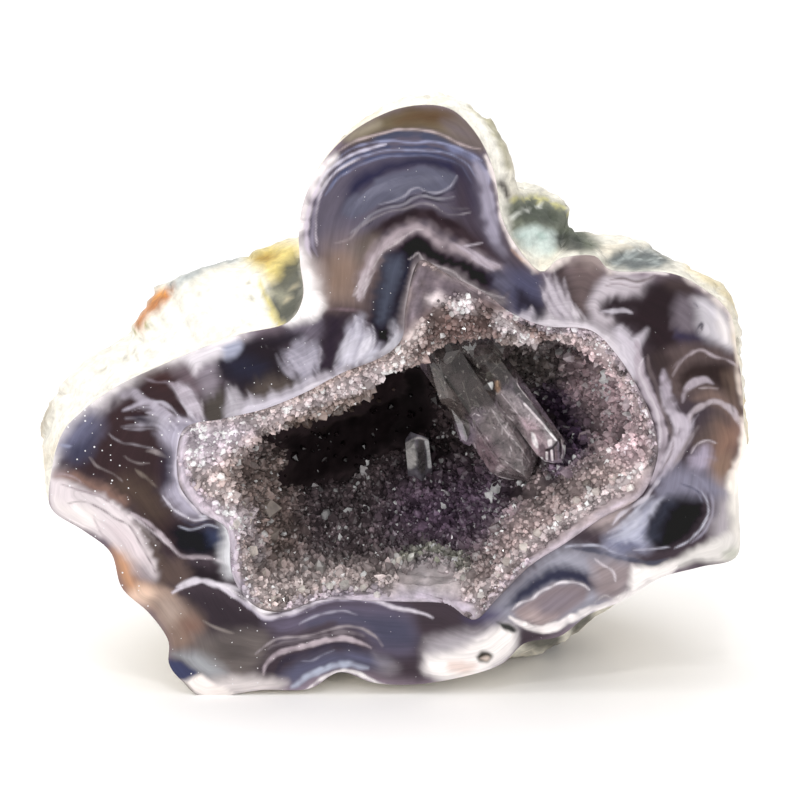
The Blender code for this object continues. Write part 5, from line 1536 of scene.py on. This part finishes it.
# Crystals: name, root and point (x, y, z), distances of the sides and of the end faces from the axis
# and the point, in millimetres, and turn in degrees. The first seven are grown together.
CLUSTER = (
    ("leading", (9.0, 10.9, 47.4), (22.3, 3.0, 30.5),
        (2.2, 2.0, 2.3, 2.2, 2.0, 2.3), (0.3, 0.9, 0.2, 1.1, 0.5, 0.8), 14),
    ("broad", (5.0, 11.2, 46.6), (18.4, 5.0, 26.9),
        (3.6, 3.3, 3.6, 3.5, 3.6, 3.3), (0.3, 1.3, 0.5, 1.0, 0.2, 1.4), 32),
    ("roof", (8.6, 10.2, 52.0), (10.6, 5.6, 41.8),
        (2.7, 2.4, 2.8, 2.5, 2.6, 2.8), (0.4, 1.2, 0.6, 1.5, 0.3, 1.1), 8),
    ("brow", (5.2, 9.6, 51.5), (7.2, 6.8, 42.2),
        (1.9, 1.7, 1.9, 1.8, 1.9, 1.7), (0.3, 1.0, 0.4, 0.9, 0.2, 1.1), 40),
    ("hook", (12.2, 9.8, 51.5), (14.2, 6.8, 43.4),
        (1.8, 1.6, 1.9, 1.7, 1.8, 1.6), (0.2, 0.9, 0.4, 0.8, 0.3, 1.0), 5),
    ("side", (4.0, 8.8, 49.5), (7.3, 7.0, 37.0),
        (1.5, 1.3, 1.4, 1.3, 1.5, 1.3), (0.2, 0.7, 0.3, 0.8, 0.2, 0.6), 8),
    ("low", (6.8, 9.6, 39.5), (9.4, 6.6, 32.2),
        (0.95, 0.9, 1.0, 0.9, 0.95, 0.9), (0.1, 0.4, 0.2, 0.5, 0.1, 0.4), 25),
)
SMALL = (
    "clear_small_crystal", (2.8, 23.6, 23.4), (2.1, 18.9, 31.4),
    (1.7, 1.6, 1.8, 1.7, 1.6, 1.7), (0.3, 0.8, 0.2, 0.9, 0.4, 0.7), 10,
)


# The cluster's veiling, with facets painted lighter and darker as light falls on them; its painted
# highlights and facet shade, which lie over its flecks; and the small crystal's painted light and shade
CLEAR_VEIL_AND_SHADE_PAINT = (
    (430, 330, 9.22),
    ("f", "5a5150", 0, 110, 1, "-60 60, 1200 60, 1300 300, 900 420, 800 470, 700 540, 560 660, 420 800, "
        "240 860, 0 700, -60 400"),
    ("f", "6e6461", 0, 24, 0.9, "20 360, 110 380, 230 600, 320 800, 240 850, 140 740, 30 560"),
    ("s", "8b857c", 14, 10, 0.8, "30 350, 70 400, 120 520"),
    ("s", "36332f", 30, 20, 0.9, "110 400, 200 520, 300 640, 360 760"),
    ("s", "77736d", 10, 8, 0.8, "300 480, 340 600, 370 700"),
    ("s", "8a857f", 9, 8, 0.8, "380 640, 430 660, 450 700, 400 690"),
    ("f", "7d7a74", 0, 10, 0.8, "310 820, 350 830, 370 900, 350 1000, 310 940"),
    ("s", "a8a39d", 14, 8, 0.9, "400 830, 412 870"),
    ("s", "6c6963", 10, 8, 0.8, "150 280, 230 300, 330 260"),
    ("f", "68645e", 0, 10, 0.8, "520 400, 570 390, 590 440, 540 460, 510 440"),
    ("f", "5e5654", 0, 16, 0.9, "500 170, 620 190, 650 280, 590 350, 500 330, 460 240"),
    ("f", "463e3e", 0, 30, 0.9, "200 240, 400 180, 470 260, 440 380, 300 400, 180 330"),
    ("s", "7d7a74", 10, 8, 0.9, "600 190, 650 270, 590 360, 520 400"),
    ("s", "6f6b65", 8, 8, 0.8, "380 190, 440 300, 430 420"),
    ("f", "5a504f", 0, 20, 0.9, "420 520, 560 480, 620 600, 560 740, 470 700, 420 600"),
    ("f", "887c7e", 0, 60, 1, "430 860, 560 700, 760 760, 1000 1120, 1070 1260, 1040 1340, 940 1440, "
        "600 1360, 500 1320, 420 1140"),
    ("f", "98828a", 0, 40, 0.9, "440 960, 560 1000, 640 1160, 600 1300, 500 1240, 420 1100"),
    ("f", "7d7375", 0, 30, 0.8, "560 860, 660 1000, 760 1120, 700 1160, 600 1040, 540 940"),
    ("f", "857a7c", 0, 24, 0.8, "800 1140, 980 1220, 1060 1300, 1040 1400, 920 1420, 760 1300"),
    ("s", "a89ea0", 34, 20, 0.9, "580 740, 640 830, 720 950, 800 1060"),
    ("s", "c3b9bb", 10, 8, 0.8, "570 730, 640 850, 720 960, 830 1080, 920 1220"),
    ("s", "ad9fa2", 10, 8, 0.8, "420 900, 470 980, 560 1110, 610 1180"),
    ("s", "d9ccd0", 12, 10, 0.9, "408 1050, 420 1090"),
    ("f", "c4b5b9", 0, 12, 0.9, "610 1260, 650 1240, 690 1270, 650 1320, 610 1310"),
    ("s", "e9dfe2", 14, 10, 0.95, "560 1350, 650 1360, 750 1380, 850 1415, 950 1425"),
    ("s", "8f8385", 10, 8, 0.9, "950 1425, 1020 1370, 1056 1290, 1060 1220"),
    ("s", "ded4d6", 12, 10, 0.8, "800 1290, 830 1310"),
    ("s", "ded4d6", 12, 10, 0.8, "940 1320, 980 1330, 1010 1300"),
    ("s", "4a4042", 12, 8, 0.8, "640 1180, 720 1220, 800 1250"),
    ("s", "4a4042", 12, 8, 0.7, "700 1330, 800 1350, 900 1380"),
    # The leading crystal's faces: painted lighter and darker as light falls on them
    ("f", "8f8486", 0, 16, 1, "600 560, 660 560, 820 800, 1010 1190, 960 1190, 800 960, 640 720"),
    ("f", "ab9fa3", 0, 22, 1, "650 560, 760 560, 880 690, 1160 1010, 1080 1060, 960 960, 840 820, "
        "720 680"),
    ("f", "c2a9b1", 0, 40, 0.95, "820 800, 940 840, 1040 920, 1000 980, 900 940"),
    ("f", "716a6d", 0, 12, 1, "760 470, 810 500, 960 690, 1200 960, 1230 1040, 1170 1020, 1000 800, "
        "860 660, 780 580"),
)
# Painted highlights along the cluster's edges and tip, painted shade on its darker tip facets, and an
# orange speck
HIGHLIGHT_AND_SHADE_PAINT = (
    (430, 330, 9.22),
    ("s", "e8dfe1", 20, 10, 0.95, "870 680, 960 780, 1060 890, 1160 1015"),
    ("s", "ffffff", 12, 8, 0.9, "1060 900, 1110 960, 1165 1020"),
    ("s", "d7cdcf", 9, 8, 0.9, "800 430, 812 510, 880 600, 950 680"),
    ("s", "a79ca0", 8, 8, 0.8, "1040 790, 1120 880, 1200 960, 1240 1060"),
    ("s", "d3c9cc", 8, 8, 0.8, "660 590, 740 690, 840 810"),
    ("f", "b9a3aa", 0, 20, 0.9, "880 900, 1010 920, 1090 1060, 1060 1160, 960 1120"),
    ("f", "f7f0f2", 0, 10, 1, "930 940, 965 960, 1000 1070, 975 1085, 940 1020"),
    ("f", "85717a", 0, 10, 0.9, "1000 1060, 1060 1060, 1060 1180, 1020 1180"),
    ("f", "f2e9eb", 0, 8, 1, "1085 1010, 1120 1010, 1125 1060, 1090 1070"),
    ("f", "2d2226", 0, 8, 1, "1060 1100, 1120 1080, 1165 1030, 1175 1050, 1130 1100, 1075 1120"),
    ("s", "f4ecee", 22, 8, 1, "1076 1130, 1078 1190"),
    ("s", "efe6e8", 20, 8, 1, "1120 1110, 1128 1200"),
    ("s", "8c787e", 24, 8, 1, "1160 1080, 1165 1190"),
    ("s", "33282c", 12, 6, 1, "1098 1120, 1100 1190"),
    ("s", "33282c", 12, 6, 1, "1142 1090, 1146 1190"),
    ("s", "2d2226", 12, 6, 1, "1190 1010, 1206 1090, 1200 1180"),
    ("s", "d9ccd0", 12, 8, 0.95, "1210 1010, 1226 1100, 1216 1180"),
    ("s", "2d2226", 9, 6, 0.9, "1236 1040, 1240 1120"),
    ("f", "ffffff", 0, 6, 1, "1215 1060, 1262 1065, 1270 1110, 1265 1180, 1245 1185, 1240 1120"),
    ("s", "ffffff", 18, 8, 1, "1012 1205, 1030 1180, 1040 1210, 1080 1225, 1130 1235, 1200 1240, "
        "1236 1222"),
    ("f", "b8957c", 0, 16, 0.9, "602 475, 640 475, 650 535, 628 575, 602 550"),
    ("s", "e9c7a8", 12, 10, 0.8, "620 470, 626 520"),
    ("f", "ffffff", 0, 5, 1, "530 490, 578 480, 574 552"),
)
# The small crystal's painted light and shade: a pale face, a darker face and a white highlight along its
# edge
SMALL_PAINT = (
    (0, 0, 1),
    ("f", "cfcbc9", 0, 2, 1, "403 446, 414 442, 417 464, 407 468"),
    ("f", "6d6766", 0, 2, 0.9, "418 440, 424 440, 426 470, 418 470"),
    ("s", "ffffff", 4.5, 1.6, 1, "427 442, 429 452, 430 466"),
    ("s", "d9d4d2", 2, 1.4, 0.9, "405 444, 417 438, 427 440"),
)

# How finely painted crystals are divided, in all and where their front shows fine detail, which is
# below a height, and the most rounds and faces that this takes
PAINT_STEP, PAINT_FINE, PAINT_FINE_BELOW = 0.0007, 0.0002, 0.0495
PAINT_ROUNDS, PAINT_FACES = 9, 110000

# Small painted highlights and cracks in the clear crystals: count, pixels from and to, lengths and colours
FLECKS = (
    (170, (470, 408), (546, 486), (1.5, 5), ("e2d8db", "3d3437", "bfb3b6", "5a5053")),
    (60, (496, 384), (568, 464), (2, 7), ("efe7e9", "5a5054", "cfc5c8", "8a7e82")),
    (260, (428, 336), (512, 424), (1.5, 6), ("9a958e", "1d1b19", "807c75", "2b2927")),
    (26, (430, 346), (520, 420), (0.6, 1.4), ("d8d2cc", "e9e4e0")),
)


def add_flecks(painting, flecks):
    for count, low, high, lengths, colours in flecks:
        for _ in range(count):
            start = rng.uniform(low, high)
            turn = rng.choice((60, 60, 5, 120)) + rng.normal(0, 30)
            way = np.array([math.cos(math.radians(turn)), math.sin(math.radians(turn))])
            line = [start, start + way * rng.uniform(*lengths)]
            painting.stroke(rng.choice(colours), rng.uniform(0.6, 1.6), line, 1.1, rng.uniform(0.2, 0.65))


def apply_modifiers(piece):
    view = bpy.context.evaluated_depsgraph_get()
    data = bpy.data.meshes.new_from_object(piece.evaluated_get(view))
    piece.modifiers.clear()
    piece.data = data


def divide(mesh):
    """Divides a clear crystal's flat faces, finely where its front shows fine detail."""
    bmesh.ops.dissolve_degenerate(mesh, dist=1e-6, edges=mesh.edges[:])
    for _ in range(PAINT_ROUNDS):
        bmesh.ops.triangulate(mesh, faces=mesh.faces[:])
        long_edges = []
        for edge in mesh.edges:
            front = min((face.normal.y for face in edge.link_faces), default=0)
            limit = PAINT_FINE if front < -0.1 and edge.verts[0].co.z < PAINT_FINE_BELOW else PAINT_STEP
            if edge.calc_length() > limit:
                long_edges.append(edge)
        if not long_edges or len(mesh.faces) > PAINT_FACES:
            break
        bmesh.ops.subdivide_edges(mesh, edges=long_edges, cuts=1)
    bmesh.ops.triangulate(mesh, faces=mesh.faces[:])


def paint_clear(piece, ground, veils_and_shading, flecks, highlights_and_shade):
    """Paints a clear crystal: its veiling and the painted light and shade of its facets, then its flecks,
    then its painted highlights and facet shade.
    """
    mesh = bmesh.new()
    mesh.from_mesh(piece.data)
    divide(mesh)
    mesh.to_mesh(piece.data)
    mesh.free()
    piece.data.validate()
    places = np.array([vertex.co for vertex in piece.data.vertices]) - TO_FRAME
    painting = Painting(seen_at(places), ground)
    painting.paint(veils_and_shading)
    add_flecks(painting, flecks)
    painting.paint(highlights_and_shade)
    set_tint(piece.data, painting.tint)


def make_clear(material):
    cluster, *others = [cut_crystal(*crystal) for crystal in CLUSTER]
    cluster.name = "clear_crystals"
    for other in others:
        joined = cluster.modifiers.new(other.name, "BOOLEAN")
        joined.operation, joined.object, joined.solver = "UNION", other, "EXACT"
    apply_modifiers(cluster)
    for other in others:
        bpy.data.objects.remove(other, do_unlink=True)
    small = cut_crystal(*SMALL)
    for piece in (cluster, small):
        piece.data.materials.clear()
        piece.data.materials.append(material)
    paint_clear(cluster, "clear", CLEAR_VEIL_AND_SHADE_PAINT, FLECKS, HIGHLIGHT_AND_SHADE_PAINT)
    paint_clear(small, "small_clear", (), (), SMALL_PAINT)
    return cluster, small


# Materials

# Plain values of the shaders' sockets
AGATE_SHINE = {"Roughness": 0.25, "IOR": 1.54, "Specular IOR Level": 0.12}
RIND_SHINE = {"Roughness": 0.6}
DRUSE_SHINE = {"Roughness": 0.12, "IOR": 1.544, "Specular IOR Level": 0.5, "Transmission Weight": 0.12}
BED_SHINE = {"Roughness": 0.6, "IOR": 1.544, "Specular IOR Level": 0.04}
CLEAR_SHINE = {"Roughness": 0.02, "IOR": 1.544}

# The clear crystals' absorption, and their transmission at a dark and at a bright painted colour
ABSORBED, ABSORPTION = (0.85, 0.72, 0.80, 1), 12
CLEAR_FROM, CLEAR_TO = (0.04, 0.55), (0.5, 0.06)

# Fine bands: how far they move with the painted colour's brightness
BAND_SHIFT = 3.0

# Dust on the cut: its grain for a metre and its colour. A speck's size is up to DUST_VARIES, less
# an amount that changes across the cut between two places (x).
DUST_GRAIN, DUST_COLOUR = 900.0, (0.75, 0.74, 0.76, 1)
DUST_PLACES, DUST_SIZES, DUST_VARIES = (-0.040, 0.010), (-0.185, -0.27), 0.30


def scaled_tint(tree, noise, low, high):
    """The painted colour, and the same made darker and lighter by a noise's value."""
    tint = add_node(tree, "ShaderNodeAttribute", attribute_name="tint").outputs["Color"]
    scaled = add_node(tree, "ShaderNodeVectorMath", operation="SCALE")
    link(tree, tint, scaled.inputs[0])
    link(tree, mapped(tree, noise, 0.3, 0.7, low, high), scaled.inputs["Scale"])
    return tint, scaled.outputs[0]


def agate_material():
    """Polished agate: painted fields, fine bands along the wall and a little dust."""
    made, tree, shader = node_material("polished_agate", AGATE_SHINE)
    flow = add_node(tree, "ShaderNodeAttribute", attribute_name="flow").outputs["Vector"]
    bands = add_node(tree, "ShaderNodeTexNoise", Scale=1.0, Detail=6.0, Roughness=0.62)
    tint, scaled = scaled_tint(tree, bands.outputs["Fac"], 0.80, 1.20)
    shift = add_node(tree, "ShaderNodeCombineXYZ")
    rise = maths(tree, "ShaderNodeMath", "MULTIPLY", brightness(tree, tint), BAND_SHIFT)
    link(tree, rise, shift.inputs["X"])
    where = maths(tree, "ShaderNodeVectorMath", "ADD", flow, shift.outputs[0])
    link(tree, where, bands.inputs["Vector"])
    place = add_node(tree, "ShaderNodeTexCoord")
    apart = add_node(tree, "ShaderNodeSeparateXYZ")
    link(tree, place.outputs["Object"], apart.inputs[0])
    flat = add_node(tree, "ShaderNodeCombineXYZ")
    link(tree, apart.outputs["X"], flat.inputs["X"])
    link(tree, apart.outputs["Z"], flat.inputs["Y"])
    dust = add_node(tree, "ShaderNodeTexVoronoi", Scale=DUST_GRAIN, voronoi_dimensions="2D")
    link(tree, flat.outputs[0], dust.inputs["Vector"])
    some = add_node(tree, "ShaderNodeSeparateColor")
    link(tree, dust.outputs["Color"], some.inputs[0])
    rarer = mapped(tree, apart.outputs["X"], *DUST_PLACES, *DUST_SIZES)
    grain = maths(tree, "ShaderNodeMath", "MULTIPLY_ADD", some.outputs[0], DUST_VARIES, rarer)
    speck = maths(tree, "ShaderNodeMath", "LESS_THAN", dust.outputs["Distance"], grain)
    dusty = add_node(tree, "ShaderNodeMix", data_type="RGBA")
    link(tree, speck, dusty.inputs[0])
    link(tree, scaled, dusty.inputs[6])
    dusty.inputs[7].default_value = DUST_COLOUR
    link(tree, dusty.outputs[2], shader.inputs["Base Color"])
    return made


def tinted_material(name, shine, noise, low, high):
    """A material in the painted colours, made darker and lighter by a noise (scale, detail and
    roughness). Comes with its nodes, its shader, the noise's value and the colour."""
    made, tree, shader = node_material(name, shine)
    place = add_node(tree, "ShaderNodeTexCoord")
    scale, detail, roughness = noise
    cloud = add_node(tree, "ShaderNodeTexNoise", Scale=scale, Detail=detail, Roughness=roughness)
    link(tree, place.outputs["Object"], cloud.inputs["Vector"])
    _, colour = scaled_tint(tree, cloud.outputs["Fac"], low, high)
    link(tree, colour, shader.inputs["Base Color"])
    return made, tree, shader, cloud.outputs["Fac"], colour


def rind_material():
    made, tree, shader, grain, _ = tinted_material("weathered_rind", RIND_SHINE, (900, 5, 0.65), 0.78, 1.14)
    bump = add_node(tree, "ShaderNodeBump", Strength=0.35, Distance=0.0004)
    link(tree, grain, bump.inputs["Height"])
    link(tree, bump.outputs[0], shader.inputs["Normal"])
    return made


def druse_material(name, shine):
    return tinted_material(name, shine, (700, 3, 0.6), 0.7, 1.3)[0]


def clear_material():
    """Clear quartz: the darker its painted colour, the more it lets through."""
    made, tree, shader, _, colour = tinted_material("clear_quartz", CLEAR_SHINE, (620, 5, 0.7), 0.4, 1.3)
    clear = mapped(tree, brightness(tree, colour), *CLEAR_FROM, *CLEAR_TO)
    link(tree, clear, shader.inputs["Transmission Weight"])
    absorb = add_node(tree, "ShaderNodeVolumeAbsorption", Color=ABSORBED, Density=ABSORPTION)
    link(tree, absorb.outputs["Volume"], tree.nodes["Material Output"].inputs["Volume"])
    return made


# Stage, camera and light

# The floor: half its width, its roughness and the two colours that its grain goes between
FLOOR_REACH, FLOOR_ROUGHNESS = 3, 0.7
FLOOR_COLOURS = (0.965, 0.945, 0.935, 1), (0.985, 0.965, 0.955, 1)

# Area lights aimed at the stone's middle: name, place, size and power; and the light from all round
LIT_PLACE = (0, 0, 0.04)
LIGHTS = (
    ("overhead", (-0.12, 0.08, 0.75), 0.75, 3.9),
    ("front", (-0.25, -0.60, 0.30), 0.35, 1.0),
    ("sparkle_0", (-0.30, -0.40, 0.40), 0.03, 0.25),
    ("sparkle_1", (0.25, -0.45, 0.25), 0.03, 0.25),
    ("sparkle_2", (0.05, -0.30, 0.50), 0.03, 0.25),
)
LIGHT_ALL_ROUND = 0.68


def make_stage():
    made, tree, shader = node_material("pale_floor", {"Roughness": FLOOR_ROUGHNESS})
    grain = add_node(tree, "ShaderNodeTexNoise", Scale=900.0)
    ramp = add_node(tree, "ShaderNodeValToRGB")
    for element, colour in zip(ramp.color_ramp.elements, FLOOR_COLOURS):
        element.color = colour
    link(tree, grain.outputs["Fac"], ramp.inputs["Fac"])
    link(tree, ramp.outputs["Color"], shader.inputs["Base Color"])
    data = bpy.data.meshes.new("pale_floor")
    corners = [(x * FLOOR_REACH, y * FLOOR_REACH, 0) for x, y in ((-1, -1), (1, -1), (1, 1), (-1, 1))]
    data.from_pydata(corners, [], [(0, 1, 2, 3)])
    data.materials.append(made)
    add_object("pale_floor", data)


def add_aimed(name, data, place, target):
    """An object that looks from a place at a target."""
    made = add_object(name, data)
    made.location = place
    made.rotation_euler = (Vector(target) - Vector(place)).to_track_quat("-Z", "Y").to_euler()
    return made


def make_camera():
    aim = Vector((TO_FRAME[0], TO_FRAME[1], AIM_HEIGHT))
    back = Vector((0, -math.cos(VIEW_TILT), math.sin(VIEW_TILT))) * VIEW_DISTANCE
    data = bpy.data.cameras.new("camera")
    data.sensor_width = 36
    data.lens = data.sensor_width * VIEW_DISTANCE / (SCALE * PICTURE_PX)
    data.clip_start, data.clip_end = 0.01, 20
    bpy.context.scene.camera = add_aimed("camera", data, aim + back, aim)


def light_scene():
    world = bpy.data.worlds.new("studio")
    bpy.context.scene.world = world
    world.use_nodes = True
    sky = world.node_tree.nodes["Background"]
    sky.inputs["Color"].default_value = (1, 1, 1, 1)
    sky.inputs["Strength"].default_value = LIGHT_ALL_ROUND
    for name, place, size, power in LIGHTS:
        data = bpy.data.lights.new(name, "AREA")
        data.shape, data.size, data.energy = "SQUARE", size, power
        add_aimed(name, data, place, LIT_PLACE)
    bpy.context.scene.view_settings.view_transform = "Standard"


stone = make_stone(agate_material(), rind_material())
druse = make_druse(druse_material("quartz_druse", DRUSE_SHINE), druse_material("druse_bed", BED_SHINE))
cluster, small = make_clear(clear_material())
for piece, node, slot in (
    (stone, "agate_shell", "banded_agate"),
    *((piece, "crystal_crust", "quartz_druse") for piece in druse),
    (cluster, "clear_quartz_cluster", "clear_quartz"),
    (small, "small_clear_quartz", "clear_quartz"),
):
    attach(piece, "root")
    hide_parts(node)

make_stage()
make_camera()
light_scene()
